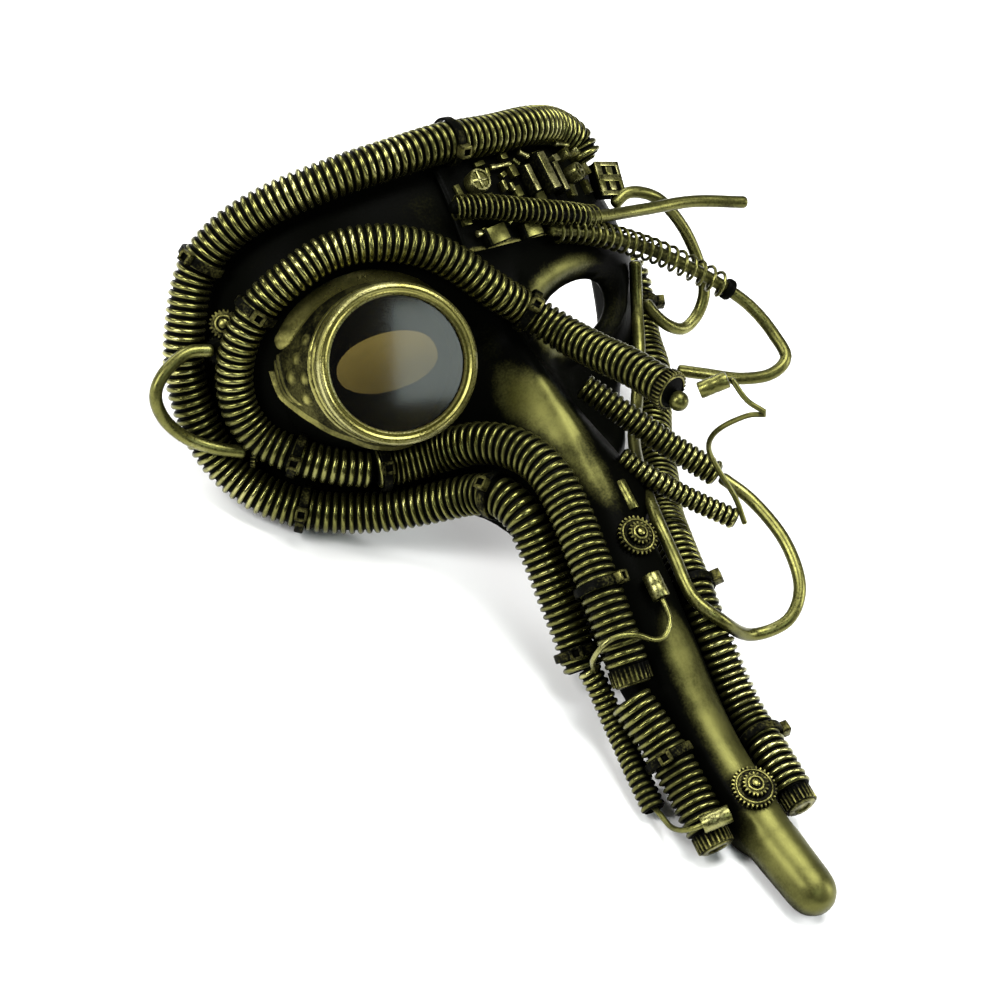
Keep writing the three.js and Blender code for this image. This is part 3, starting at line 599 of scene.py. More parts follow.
def keep_in_wall(bm):
    """Draws the vertices that would show inside back into the wall."""
    for vert in bm.verts:
        deep, out = depth_in_wall(vert.co)
        if deep > HIDDEN_DEPTH:
            vert.co += out * (deep - HIDDEN_DEPTH)


print("pieces end", HIDDEN_DEPTH, "mm deep in the wall")

# %% [markdown]
# ## Lines to follow
# Hoses, pipes and wires are soft curves through a few points. A small class makes that curve
# smooth, measures it along its length and carries a steady cross frame from end to end, so that
# nothing twists. A grid rolled round such a line is a tube, and its radius may change at every
# stop, which is all that ribs need.

# %% Routes and tubes
CURVE_STEPS = 20
TANGENT_STEP = 0.3
TUBE_MERGE = 0.001


def centripetal(points):
    """Points along a centripetal Catmull-Rom curve, which doesn't overshoot at close points."""
    ends = [points[0] * 2 - points[1], *points, points[-1] * 2 - points[-2]]
    made = []
    for a, b, c, d in zip(ends, ends[1:], ends[2:], ends[3:]):
        ka = max((b - a).length, 1e-6) ** 0.5
        kb = max((c - b).length, 1e-6) ** 0.5
        kc = max((d - c).length, 1e-6) ** 0.5
        leave = ((b - a) / ka - (c - a) / (ka + kb) + (c - b) / kb) * kb
        arrive = ((c - b) / kb - (d - b) / (kb + kc) + (d - c) / kc) * kb
        for step in range(CURVE_STEPS):
            t = step / CURVE_STEPS
            made.append(b + leave * t + (3 * (c - b) - 2 * leave - arrive) * t ** 2
                        + (2 * (b - c) + leave + arrive) * t ** 3)
    return [*made, points[-1]]


class Route:
    """A line through points, measured along its length in mm."""

    def __init__(self, points, smooth=True):
        points = [Vector(point) for point in points]
        self.points = centripetal(points) if smooth else points
        self.lengths = [0.0]
        for a, b in zip(self.points, self.points[1:]):
            self.lengths.append(self.lengths[-1] + (b - a).length)
        self.length = self.lengths[-1]

    def point(self, distance):
        distance = min(max(distance, 0), self.length)
        low, high = 0, len(self.lengths) - 1
        while high - low > 1:
            half = (low + high) // 2
            low, high = (half, high) if self.lengths[half] <= distance else (low, half)
        share = (distance - self.lengths[low]) / max(self.lengths[high] - self.lengths[low], 1e-9)
        return self.points[low].lerp(self.points[high], share)

    def tangent(self, distance):
        return (self.point(distance + TANGENT_STEP) - self.point(distance - TANGENT_STEP)).normalized()

    def frames(self, distances):
        """A matrix at each distance: z along the line, x and y carried on without twist."""
        tangent = self.tangent(distances[0])
        side = tangent.orthogonal().normalized()
        made = []
        for distance in distances:
            ahead = self.tangent(distance)
            side = tangent.rotation_difference(ahead) @ side
            side = (side - ahead * side.dot(ahead)).normalized()
            tangent = ahead
            turn = Matrix((side, ahead.cross(side), ahead)).transposed().to_4x4()
            made.append(Matrix.Translation(self.point(distance)) @ turn)
        return made


def rolled_grid(bm, route, stops, sides):
    """A grid rolled into a closed tube. Each stop is (distance, radius, crest)."""
    made = bmesh.ops.create_grid(bm, x_segments=len(stops) - 1, y_segments=sides, size=0.5)
    layer = bm.verts.layers.float["crest"]
    frames = route.frames([stop[0] for stop in stops])
    for vert in made["verts"]:
        index = round((vert.co.x + 0.5) * (len(stops) - 1))
        angle = 2 * math.pi * round((vert.co.y + 0.5) * sides) / sides
        radius = stops[index][1]
        vert[layer] = stops[index][2]
        vert.co = frames[index] @ Vector((radius * math.cos(angle), radius * math.sin(angle), 0))
    bmesh.ops.remove_doubles(bm, verts=made["verts"], dist=TUBE_MERGE)
    rims = [edge for edge in bm.edges if edge.is_boundary]
    bmesh.ops.holes_fill(bm, edges=rims, sides=sides + 1)


print("steps between route points:", CURVE_STEPS)

# %% [markdown]
# ## Ribbed hoses
# A ribbed hose looks like rings threaded on a black tube. Its radius is worked out by a formula:
# half-round crests with flat grooves between. The crest attribute carries the same height to the
# paint, so gold sits only on top.

# %% Hoses
HOSES = {
    # radius, points
    "hose_crown": (7, [
        (56, 47.5, 48), (54, 54, 46.5), (45, 60, 49), (30.5, 62.5, 55.5), (12, 62.5, 58.5),
        (-8.5, 63, 59.5), (-27, 61.5, 58), (-47, 59, 52), (-64, 54.5, 41), (-76, 48, 31), (-84, 38, 23),
        (-89, 23, 19), (-91, 8, 16), (-89, -9, 15), (-84, -24, 17), (-76, -36, 24), (-64, -44, 33),
        (-49, -48, 44), (-36, -48, 57), (-28, -47, 69), (-25, -48, 80), (-23, -55, 88), (-21.5, -66, 91),
        (-20.5, -79, 94), (-19.5, -92, 97), (-19, -105, 100)]),
    "hose_brow": (6.4, [
        (16, -22.5, 120), (14, -15.5, 108), (11.5, -9.5, 95), (8.5, -2.5, 83), (2, 6, 76), (-9, 15.5, 74),
        (-18.5, 25.5, 71), (-28.5, 32.5, 68), (-41, 37, 63), (-54, 37, 56), (-66, 32, 50), (-75, 25, 43),
        (-81, 15, 37), (-83, 4, 32), (-82, -7, 30), (-78, -17, 32), (-71, -24, 38), (-61, -30, 45),
        (-51, -33.3, 50.1)]),
    "hose_cheek": (7.2, [
        (-50, -33, 51), (-41, -33, 55), (-31, -32, 62), (-24, -31, 74), (-19, -34.5, 86), (-16.5, -42, 96),
        (-16, -54.5, 103), (-17, -67, 109), (-18, -82, 115), (-18, -95, 119), (-18, -103, 121)]),
    "hose_nose_near": (7.2, [
        (-22.5, -112.2, 125), (-20.6, -120.6, 129.2), (-18.8, -129, 133), (-17.5, -141, 139),
        (-17.5, -154, 146)]),
    "hose_nose_far": (7, [
        (85, 9, 20.5), (86.5, 2, 22.5), (84.5, -6, 24.5), (79, -18, 32), (72, -28, 43), (64, -39.5, 50),
        (54, -49.5, 60), (45.5, -59.5, 71), (35, -67.5, 83.5), (25.5, -76.5, 99), (19.5, -88, 111.5),
        (17.5, -102, 119), (18, -118, 124), (18, -130, 130), (17, -140, 139), (16, -151, 148)]),
    "coil_nose_thin": (4.2, [
        (-25.2, -102.6, 110.4), (-24, -108, 112), (-22.7, -119.5, 115), (-23.8, -129, 121),
        (-25.3, -137.4, 127), (-25.9, -146, 132)]),
    "tube_upper": (4.7, [(15, -21, 80), (23, -32, 88), (32, -43, 94), (45, -57, 102)]),
    "tube_lower": (3.8, [(14, -44, 94), (21, -53, 100), (31, -62, 105), (42, -71, 111)]),
}
RIB_PITCH = 2.62
THIN_RIB_PITCH = 2.3
THIN_HOSE = 5  # radius below which the ribs are closer
FINE_START = {
    # pitch at the start, and how far it takes to open to the full pitch
    "hose_cheek": (1.7, 34),
}
RIB_SHARE = 0.72  # of the pitch that is crest
GROOVE = 1.35
GROOVE_LIMIT = 0.2  # of the radius
PAINT_ROOM = 0.25  # by which the ribs stay inside the solid
RIB_STOPS = (0, 0.13, 0.16, 0.23, 0.35, 0.5, 0.65, 0.77, 0.84, 0.87)
HOSE_SIDES = 22
MOUTH_SHARE = 0.68
MOUTH_DEPTH = 6


def rib_height(share):
    """0 in the groove and 1 on the crest, at a share of one pitch."""
    across = (share - 0.5) / (RIB_SHARE / 2)
    return math.sqrt(max(0.0, 1 - across * across))


def rib_starts(length, pitch, fine_pitch, fine_length):
    """Distances at which ribs start, opening from a fine pitch to the full one."""
    starts = [0.0]
    while starts[-1] < length - pitch / 2:
        share = min(1, starts[-1] / fine_length) if fine_length else 1
        starts.append(starts[-1] + fine_pitch + (pitch - fine_pitch) * share)
    return [start * length / starts[-1] for start in starts]


def hose_stops(name, route, radius):
    """Stops along a hose, from inside one mouth over all the ribs to inside the other."""
    pitch = RIB_PITCH if radius > THIN_HOSE else THIN_RIB_PITCH
    starts = rib_starts(route.length, pitch, *FINE_START.get(name, (pitch, 0)))
    crest = radius - PAINT_ROOM
    floor = crest - min(GROOVE, crest * GROOVE_LIMIT)
    stops = []
    for start, end in zip(starts, starts[1:]):
        for share in RIB_STOPS:
            height = rib_height(share)
            stops.append((start + share * (end - start), floor + (crest - floor) * height, height))
    stops.append((route.length, floor, 0))
    mouth = radius * MOUTH_SHARE
    start = [(MOUTH_DEPTH, mouth, 0), (0, mouth, 0)]
    end = [(route.length, mouth, 0), (route.length - MOUTH_DEPTH, mouth, 0)]
    return start + stops + end


ROUTES = {name: Route(points) for name, (_, points) in HOSES.items()}
for name, (radius, _) in HOSES.items():
    bm = new_bmesh()
    rolled_grid(bm, ROUTES[name], hose_stops(name, ROUTES[name], radius), HOSE_SIDES)
    keep_in_wall(bm)
    hose = make_piece(bm, "ribbed_" + name, "hose_gold", name)
    print(hose.name, "length", round(ROUTES[name].length), "mm, faces", len(hose.data.polygons))

# %% [markdown]
# ## Pipes and wires
# The smooth pipes are bent rod with a turned end, so their tubes have one radius and a short round
# at each end.

# %% Pipes
PIPE_RADIUS = 2.1
WIRE_RADIUS = 0.9
PIPES = {
    # radius, points
    "pipe_crown": (PIPE_RADIUS, [
        (-15, 43, 68), (-3, 41, 70), (12, 37, 71), (28, 33, 70), (40, 30, 67), (66, 28, 62), (86, 27, 63),
        (105, 23, 68)]),
    "pipe_spring_loop": (PIPE_RADIUS, [
        (22, 29, 67), (34, 26.5, 66), (46, 23, 64), (70, 12, 63), (90, -3, 67), (98, -12, 70),
        (102, -22, 74), (102, -30, 78), (96, -34, 77), (88, -34, 71), (80, -30.5, 61), (75, -28, 53.5)]),
    "pipe_temple_loop": (PIPE_RADIUS, [
        (60, 31, 54), (66, 34, 55), (76, 31, 56), (88, 19, 53), (95, 4, 50), (95, -5, 50),
        (91.5, -12, 48.5), (85, -15.5, 48), (78.5, -13, 48), (73.5, -7, 47), (71.5, -3.5, 47)]),
    "pipe_nose_loop": (PIPE_RADIUS, [
        (46, -58, 102.5), (51, -67, 110), (53, -82, 121), (50, -96, 127), (43, -104, 127), (32, -106, 122),
        (17, -97, 126), (12, -89, 121), (13, -77, 114), (14, -64, 107), (24, -53, 90), (36, -43, 74),
        (50, -33, 61), (60, -18, 54), (66, -5, 49), (68, 11, 50)]),
    "pipe_cheek_ring": (PIPE_RADIUS, [
        (-87, 13, 29), (-95, 14, 27), (-104, 9, 25), (-107, 3, 23), (-104, -5, 20), (-97, -13, 20),
        (-89, -18, 23), (-81, -21, 27)]),
    "wire_upper": (WIRE_RADIUS, [
        (30, -23, 136), (34, -31, 137), (38, -36, 140), (36, -36, 134), (32, -40, 122), (34, -46, 114),
        (38, -54, 112), (42, -64, 113), (44, -73, 113)]),
    "wire_middle": (WIRE_RADIUS, [
        (-2, -84, 122.5), (-2.4, -88, 125), (-4, -92, 128), (-8, -96, 129), (-12, -96, 129),
        (-18, -93, 129), (-23, -92, 127), (-27, -93, 125), (-29.5, -98, 120), (-25, -103.5, 113.5)]),
    "wire_lower": (WIRE_RADIUS, [
        (-25.8, -144.5, 131), (-26.2, -148, 136), (-27, -150.5, 140.5), (-27, -151, 146),
        (-25, -150.2, 150.5), (-22.5, -149.4, 152.6)]),
}
PIPE_STEP = 1.6
PIPE_SIDES = 16
END_ROUND = ((0.0, 0.55), (0.12, 0.8), (0.4, 0.97), (0.7, 1.0))  # distance and radius, in radii
UNRUBBED = {"pipe_crown": 0.44}  # share of the length, under a spring, that stays black
BLACK_CREST = 0.1


def pipe_stops(name, route, radius):
    """Stops along a pipe, with a short round at each end."""
    start = [(along_share * radius, share * radius) for along_share, share in END_ROUND]
    count = max(2, round((route.length - 2 * radius) / PIPE_STEP))
    middle = [(radius + (route.length - 2 * radius) * i / count, radius) for i in range(count + 1)]
    end = [(route.length - distance, size) for distance, size in reversed(start)]
    black = UNRUBBED.get(name, 0) * route.length
    return [(distance, size, BLACK_CREST if distance < black else 1)
            for distance, size in start + middle + end]


for name, (radius, points) in PIPES.items():
    ROUTES[name] = Route(points)
    bm = new_bmesh()
    rolled_grid(bm, ROUTES[name], pipe_stops(name, ROUTES[name], radius), PIPE_SIDES)
    keep_in_wall(bm)
    make_piece(bm, "bent_" + name, "pipe_brass", name)
print("pipes and wires:", len(PIPES))

# %% [markdown]
# ## Turned work
# Rings, caps and collars are profiles spun round an axis, as on a lathe. One helper says where the
# axis is and another spins the profile.

# %% Spin helpers
SPIN_STEPS = 96
SPIN_MERGE = 0.002
NEAR_AXIS = 0.1


def placement(point, direction, toward=Vector((0, 0, 1)), turn=0):
    """z along the direction, x as near to toward as it can be, then turned about z."""
    z = Vector(direction).normalized()
    x = toward - z * toward.dot(z)
    if x.length < NEAR_AXIS:
        x = Vector((0, 1, 0)) - z * z.y
    x.normalize()
    axes = Matrix((x, z.cross(x), z)).transposed().to_4x4()
    return Matrix.Translation(Vector(point)) @ axes @ Matrix.Rotation(math.radians(turn), 4, "Z")


def turned(bm, profile, place, steps=SPIN_STEPS, crest=1.0):
    """Spins a profile of (radius, height) round the z axis of a place."""
    layer = bm.verts.layers.float["crest"]
    verts = [bm.verts.new((radius, 0, height)) for radius, height in profile]
    edges = [bm.edges.new(pair) for pair in zip(verts, verts[1:])]
    bmesh.ops.spin(bm, geom=verts + edges, cent=(0, 0, 0), axis=(0, 0, 1), angle=2 * math.pi, steps=steps,
                   use_merge=True)
    new = [vert for vert in bm.verts if vert[layer] == 0]
    bmesh.ops.remove_doubles(bm, verts=new, dist=SPIN_MERGE)
    new = [vert for vert in bm.verts if vert[layer] == 0]
    for vert in new:
        vert[layer] = crest
    bmesh.ops.transform(bm, matrix=place, verts=new)


print("steps to a turn:", SPIN_STEPS)

# %% [markdown]
# ## Springs
# Two of the pipes carry a spring. Its wire is a helix round the pipe's line, worked out turn by
# turn with a pitch that opens from one end to the other, and then rolled as any tube is.

# %% Springs
SPRINGS = {
    # pipe, share of its length from and to, pitch at the start and at the end, radius of the wire
    "spring_crown": ("pipe_crown", 0.01, 0.47, 1.8, 2.8, 0.33),
    "spring_temple": ("pipe_spring_loop", 0.02, 0.511, 3.1, 4.1, 0.58),
}
SPRING_RADIUS = 3.9
TURN_STOPS = 14
SPRING_SIDES = 8
COLLAR_PROFILE = [(2.15, 0.2), (3.3, 0.2), (3.7, 0.8), (3.7, 2.4), (3.3, 3), (2.15, 3), (2.15, 0.2)]
COLLAR_STEPS = 32
COLLAR_CREST = 0.15


def helix(route, start, end, pitch_start, pitch_end):
    """Points of a wire wound round a route, with a pitch that opens."""
    distances = [start]
    while distances[-1] < end:
        share = (distances[-1] - start) / (end - start)
        distances.append(distances[-1] + (pitch_start + (pitch_end - pitch_start) * share) / TURN_STOPS)
    points = []
    for index, place in enumerate(route.frames(distances)):
        angle = 2 * math.pi * index / TURN_STOPS
        points.append(place @ Vector((SPRING_RADIUS * math.cos(angle), SPRING_RADIUS * math.sin(angle), 0)))
    return points


for name, (pipe, share_from, share_to, pitch_start, pitch_end, wire_radius) in SPRINGS.items():
    route = ROUTES[pipe]
    start = route.length * share_from
    end = route.length * share_to
    wire = Route(helix(route, start, end, pitch_start, pitch_end), False)
    bm = new_bmesh()
    rolled_grid(bm, wire, [(distance, wire_radius, 1) for distance in wire.lengths], SPRING_SIDES)
    spring = make_piece(bm, "wound_" + name, "pipe_brass", name)
    print(spring.name, "wire", round(wire.length), "mm, faces", len(spring.data.polygons))

collar_pipe, _, collar_share, *_ = SPRINGS["spring_temple"]
route = ROUTES[collar_pipe]
collar_at = route.length * collar_share
place = placement(route.point(collar_at), route.tangent(collar_at))
bm = new_bmesh()
turned(bm, COLLAR_PROFILE, place, COLLAR_STEPS, COLLAR_CREST)
make_piece(bm, "spring_collar", "trim_dark")

# %% [markdown]
# ## The goggle
# The goggle is a cup that flares towards the temple, a turned bezel and a lens. The bezel and the
# lens are profiles spun round the goggle's axis, which is how such rings are turned. The cup is a
# grid bent round the same axis, because its radius changes with the angle, and its ridges and
# pressed ovals are raised from the grid.

# %% Goggle frame and bezel
GOGGLE_SEAT = Vector((-40.5, -1, 53.5))
GOGGLE_AXIS = Vector((-0.44, 0.05, 0.9)).normalized()
GOGGLE_BASE = -10
GOGGLE_TOP = 20
BASE_RADIUS = 26
TEMPLE_REACH = 18
TOP_RADIUS = 23.8
GOGGLE_PLACE = placement(GOGGLE_SEAT, GOGGLE_AXIS, Vector((1, 0, 0)))
BEZEL_PROFILE = [
    # radius, height
    (22.3, 20.5), (24.4, 20.5), (24.6, 21.4), (24.6, 23.3), (25.0, 24.2), (25.3, 24.8), (25.3, 27.6),
    (25.0, 28.9), (24.5, 29.7), (23.9, 29.9), (23.5, 29.5), (23.3, 28.9), (22.6, 28.5), (22.0, 28.7),
    (21.7, 29.1), (21.3, 29.0), (21.05, 28.5), (21.0, 27.5), (22.3, 27.4), (22.3, 20.5),
]
bm = new_bmesh()
turned(bm, BEZEL_PROFILE, GOGGLE_PLACE)
make_piece(bm, "goggle_ring", "goggle_brass", "goggle_bezel", paint="punched_brass")
print("bezel radius", max(radius for radius, _ in BEZEL_PROFILE))

# %% Goggle lens
LENS_PROFILE = [
    # radius, height
    (0, 24.6), (21.9, 24.6), (21.9, 27.0), (18, 27.25), (12, 27.5), (6, 27.65), (0, 27.7),
]
bm = new_bmesh()
turned(bm, LENS_PROFILE, GOGGLE_PLACE)
make_piece(bm, "goggle_glass", "lens_smoke", "goggle_lens")
print("lens radius", max(radius for radius, _ in LENS_PROFILE))

# %% Goggle cup
CUP_SIDES = 200
CUP_STOPS = 110
FLANGE_STOPS = (12, 24)
CUP_WALL = 2
CUP_FLANGE = [
    # angle about the axis, share of the height where the flange starts, its width as a share, its flare
    (0, 0.3, 0.1, 1), (40, 0.4, 0.15, 2.5), (56, 0.45, 0.18, 3), (78, 0.48, 0.18, 3.4), (94, 0.5, 0.2, 3.4),
    (120, 0.48, 0.22, 3), (142, 0.45, 0.22, 3.5), (156, 0.4, 0.2, 4), (160, 0.36, 0.16, 3.6),
    (163, 0.34, 0.03, 1.6), (174, 0.4, 0.03, 1), (186, 0.45, 0.03, 0.9), (195, 0.56, 0.04, 0.8),
    (206, 0.66, 0.05, 0.7), (230, 0.78, 0.05, 0.7), (250, 0.7, 0.05, 0.7), (290, 0.4, 0.08, 1),
    (360, 0.3, 0.1, 1),
]
SKIRT_INSET = 2.2
OVALS = [(152, 0.8), (165, 0.72), (176, 0.64), (178, 0.82), (191, 0.76)]  # angle and share of the height
OVAL_HALF = (4.4, 0.062)
OVAL_RISE = 0.8
OVAL_CREST = 0.4  # added in its middle
RIDGES = {
    # share above the flange's start, from and to which angle
    0.075: (162, 190), 0.12: (163, 193),
}
RIDGE_HALF = 0.016
RIDGE_RISE = 0.5
RIDGE_CREST = 0.58
THIN_FLANGE = 0.1
RING_SHARES = (0.9, 0.955)
RING_CREST = 0.9
WALL_CREST = 0.45
SUNK_DEPTH = 0.05  # past which the skirt is cut away


def cup_radius(angle, share):
    """The plain wall's radius, which reaches farthest towards the temple."""
    temple = ((1 - math.cos(angle)) / 2) ** 2
    low = BASE_RADIUS + TEMPLE_REACH * temple
    return low + (TOP_RADIUS - low) * share


def flange_at(degrees):
    """Start, width and flare of the flange at an angle."""
    for before, after in zip(CUP_FLANGE, CUP_FLANGE[1:]):
        if before[0] <= degrees <= after[0]:
            t = (degrees - before[0]) / (after[0] - before[0])
            return [a + (b - a) * t for a, b in zip(before[1:], after[1:])]
    return CUP_FLANGE[-1][1:]


def cup_relief(degrees, stop):
    """Share of the height, rise and crest of the pressed metal at a stop.

    The flange's edges follow two of the stops.
    """
    low, wide, flare = flange_at(degrees)
    if stop < FLANGE_STOPS[0]:
        return low * stop / FLANGE_STOPS[0], -SKIRT_INSET, 0.0
    if stop <= FLANGE_STOPS[1]:
        t = (stop - FLANGE_STOPS[0]) / (FLANGE_STOPS[1] - FLANGE_STOPS[0])
        return low + wide * t, flare * (1 - t), 1.0 if wide > THIN_FLANGE else RIDGE_CREST
    t = (stop - FLANGE_STOPS[1]) / (CUP_STOPS - FLANGE_STOPS[1])
    share = low + wide + (1 - low - wide) * t
    return share, *wall_relief(degrees, share, low)


def wall_relief(degrees, share, low):
    """Rise and crest of the ridges, rings and ovals above the flange."""
    for above, (start, end) in RIDGES.items():
        if start < degrees < end and abs(share - low - above) < RIDGE_HALF:
            return RIDGE_RISE, RIDGE_CREST
    if any(abs(share - ring_share) < RIDGE_HALF for ring_share in RING_SHARES):
        return RIDGE_RISE, RING_CREST
    for middle, height in OVALS:
        away = math.hypot((degrees - middle) / OVAL_HALF[0], (share - height) / OVAL_HALF[1])
        if away < 1:
            return OVAL_RISE * math.sqrt(1 - away * away), WALL_CREST + OVAL_CREST * (1 - away)
    return 0.0, WALL_CREST


def goggle_cup():
    bm = new_bmesh()
    bmesh.ops.create_grid(bm, x_segments=CUP_SIDES, y_segments=CUP_STOPS, size=0.5)
    layer = bm.verts.layers.float["crest"]
    for vert in bm.verts:
        angle = 2 * math.pi * (vert.co.x + 0.5)
        share, rise, vert[layer] = cup_relief(math.degrees(angle), round((vert.co.y + 0.5) * CUP_STOPS))
        radius = cup_radius(angle, share) + rise
        vert.co = Vector((radius * math.cos(angle), radius * math.sin(angle),
                          GOGGLE_BASE + (GOGGLE_TOP - GOGGLE_BASE) * share))
    bmesh.ops.remove_doubles(bm, verts=bm.verts, dist=TUBE_MERGE)
    bmesh.ops.transform(bm, matrix=GOGGLE_PLACE, verts=bm.verts)
    sunk = [face for face in bm.faces
            if min(depth_in_wall(vert.co, 0)[0] for vert in face.verts) > SUNK_DEPTH]
    bmesh.ops.delete(bm, geom=sunk, context="FACES")
    keep_in_wall(bm)
    return bm


cup = make_piece(goggle_cup(), "goggle_side", "goggle_brass", "goggle_cup")
wall = cup.modifiers.new("wall", "SOLIDIFY")
wall.thickness = CUP_WALL * MM
wall.offset = -1
print("cup faces", len(cup.data.polygons))

# %% [markdown]
# ## Gears and knurled caps
# A gear starts as a circle with four points to each tooth. Two of the four are drawn outwards, the
# face is filled and extruded, and its edges are bevelled, so the paint finds an edge to rub on. A
# knurled cap is the same with many short teeth and a deeper extrusion.

# %% Gear helper
TOOTH_PATTERN = (0, 1, 1, 0)
ROOT_CREST = 0.62
TOOTH_CREST = 0.3  # added at the tip of a tooth
UNDER_CREST = 0.45
BEAD_SIDES = 10


def toothed(bm, outer, root, teeth, low, high, place, bevel=0.15):
    """A toothed disc between two heights about z."""
    layer = bm.verts.layers.float["crest"]
    count = teeth * len(TOOTH_PATTERN)
    made = bmesh.ops.create_circle(bm, cap_ends=True, segments=count, radius=1)
    for vert in made["verts"]:
        index = round(math.atan2(vert.co.y, vert.co.x) / (2 * math.pi) * count) % count
        radius = outer if TOOTH_PATTERN[index % len(TOOTH_PATTERN)] else root
        vert.co *= radius
        vert.co.z = low
    face = made["verts"][0].link_faces[0]
    top = bmesh.ops.extrude_face_region(bm, geom=[face])
    raised = [item for item in top["geom"] if isinstance(item, bmesh.types.BMVert)]
    bmesh.ops.translate(bm, vec=(0, 0, high - low), verts=raised)
    edges = [edge for vert in raised for edge in vert.link_edges if all(v in raised for v in edge.verts)]
    bmesh.ops.bevel(bm, geom=list(set(edges)), offset=bevel, affect="EDGES", segments=1, profile=0.5,
                    material=-1)
    new = [vert for vert in bm.verts if vert[layer] == 0]
    middle = (low + high) / 2
    for vert in new:
        reach = max(0, min(1, (math.hypot(vert.co.x, vert.co.y) - root) / (outer - root)))
        vert[layer] = ROOT_CREST + TOOTH_CREST * reach if vert.co.z > middle else UNDER_CREST
    bmesh.ops.transform(bm, matrix=place, verts=new)


def ring(bm, radius, thick, height, place, steps=32, crest=1.0):
    """A round bead of a ring about z at a height."""
    profile = [(radius + thick * math.cos(a), height + thick * math.sin(a))
               for a in (2 * math.pi * i / BEAD_SIDES for i in range(BEAD_SIDES + 1))]
    turned(bm, profile, place, steps, crest)


print("points to a tooth:", len(TOOTH_PATTERN))

# %% Gears
NOSE_GEARS = {
    # row, column, outer, teeth, small outer, small teeth, lean to the wearer's right
    "gear_nose_upper": (7.72, 0.12, 6.7, 26, 3.8, 16, 14),
    "gear_nose_lower": (10.68, -0.2, 7.2, 30, 4.2, 18, 0),
}
TEMPLE_GEARS = {
    # point, axis, outer, post
    "gear_temple_upper": ((-83, 20.5, 32), (-0.57, 0.22, 0.79), 4.6, 9),
    "gear_temple_middle": ((-86.2, 13, 29.2), (1, -0.1, -0.25), 4.4, 0),
    "gear_temple_lower": ((-79.5, -21.4, 27.8), (0.75, -0.3, 0.55), 4.6, 0),
}
GAP = 0.3
DISC = 1.8  # thickness of each of the two discs
TOOTH = 0.9
SMALL_TOOTH = 0.7
BEAD = 0.4
LOW_BEAD = 0.35
BEAD_HEIGHTS = (1.85, 3.7)
BEAD_SHARE = 0.56  # of the disc's radius
NOSE_HUB = [(0, 3.4), (0.9, 3.4), (1.2, 3.9), (1.2, 4.4), (0.9, 4.6), (0, 4.6)]  # radius, height
TEMPLE_DISC = 1.6
TEMPLE_TEETH = 20
TEMPLE_BEAD_HEIGHT = 1.7
TEMPLE_BEAD_SHARE = 0.55
TEMPLE_HUB = [(1.5, 2.2), (1.1, 2.5), (0, 2.5)]  # radius, height
HUB_STEPS = 20
for name, (row, column, outer, teeth, small, small_teeth, lean) in NOSE_GEARS.items():
    place = seat(row, column, GAP) @ Matrix.Rotation(math.radians(-lean), 4, "Y")
    bm = new_bmesh()
    toothed(bm, outer, outer - TOOTH, teeth, 0, DISC, place)
    ring(bm, (outer + small) / 2, LOW_BEAD, BEAD_HEIGHTS[0], place)
    toothed(bm, small, small - SMALL_TOOTH, small_teeth, DISC, 2 * DISC, place)
    ring(bm, small * BEAD_SHARE, BEAD, BEAD_HEIGHTS[1], place)
    turned(bm, NOSE_HUB, place, HUB_STEPS)
    keep_in_wall(bm)
    make_piece(bm, "toothed_" + name, "trim_dark", name)
for name, (point, axis, outer, post) in TEMPLE_GEARS.items():
    place = placement(point, axis)
    bm = new_bmesh()
    toothed(bm, outer, outer - SMALL_TOOTH, TEMPLE_TEETH, 0, TEMPLE_DISC, place)
    ring(bm, outer * TEMPLE_BEAD_SHARE, BEAD, TEMPLE_BEAD_HEIGHT, place)
    turned(bm, [(0, -post), (TEMPLE_HUB[0][0], -post), *TEMPLE_HUB], place, HUB_STEPS)
    keep_in_wall(bm)
    make_piece(bm, "toothed_" + name, "trim_dark", name)
print("gears:", len(NOSE_GEARS) + len(TEMPLE_GEARS))

# %% Caps, rim and ball
CAPS = {
    # hose, 1 for its end and 0 for its start, outer, root, teeth, thick
    "cap_cheek": ("hose_cheek", 1, 6.6, 6.1, 26, 6),
    "cap_near": ("hose_nose_near", 1, 6, 5.5, 24, 6),
    "cap_far": ("hose_nose_far", 1, 5.6, 5.1, 24, 6),
}
RIM = (6.7, 6, 30, 3)  # outer, root, teeth, thick
BALL_RADIUS = 3.2
BALL_TURN = 195
BALL_SHIFT = (3, 0, 5.2)
BALL_FACES = (28, 18)
KNURL_BEVEL = 0.12
CAP_STEPS = 32
CAP_CREST = 0.8
RIM_STEPS = 40
RIM_CREST = 0.9
# The rim's closed mouth is painted black as the shade inside an open mouth.
MOUTH_SHADE_CREST = 0.05


def hose_end(name, end):
    """The point at an end of a hose, and the way out of it."""
    route = ROUTES[name]
    distance = route.length * end
    tangent = route.tangent(distance) * (1 if end else -1)
    return route.point(distance), tangent


for name, (hose, end, outer, root, teeth, thick) in CAPS.items():
    point, tangent = hose_end(hose, end)
    place = placement(point + tangent * GAP, tangent)
    bm = new_bmesh()
    toothed(bm, outer, root, teeth, 0, thick - 0.8, place, KNURL_BEVEL)
    profile = [(0, thick - 0.9), (root - 0.4, thick - 0.9), (root - 0.5, thick - 0.3), (root - 1.2, thick),
               (root - 2.2, thick - 0.1), (root - 2.6, thick - 0.7), (0, thick - 0.7)]
    turned(bm, profile, place, CAP_STEPS, CAP_CREST)
    make_piece(bm, "knurled_" + name, "trim_dark", name)
outer, root, teeth, thick = RIM
point, tangent = hose_end("hose_brow", 0)
place = placement(point + tangent * GAP, tangent)
bm = new_bmesh()
toothed(bm, outer, root, teeth, 0, thick, place, KNURL_BEVEL)
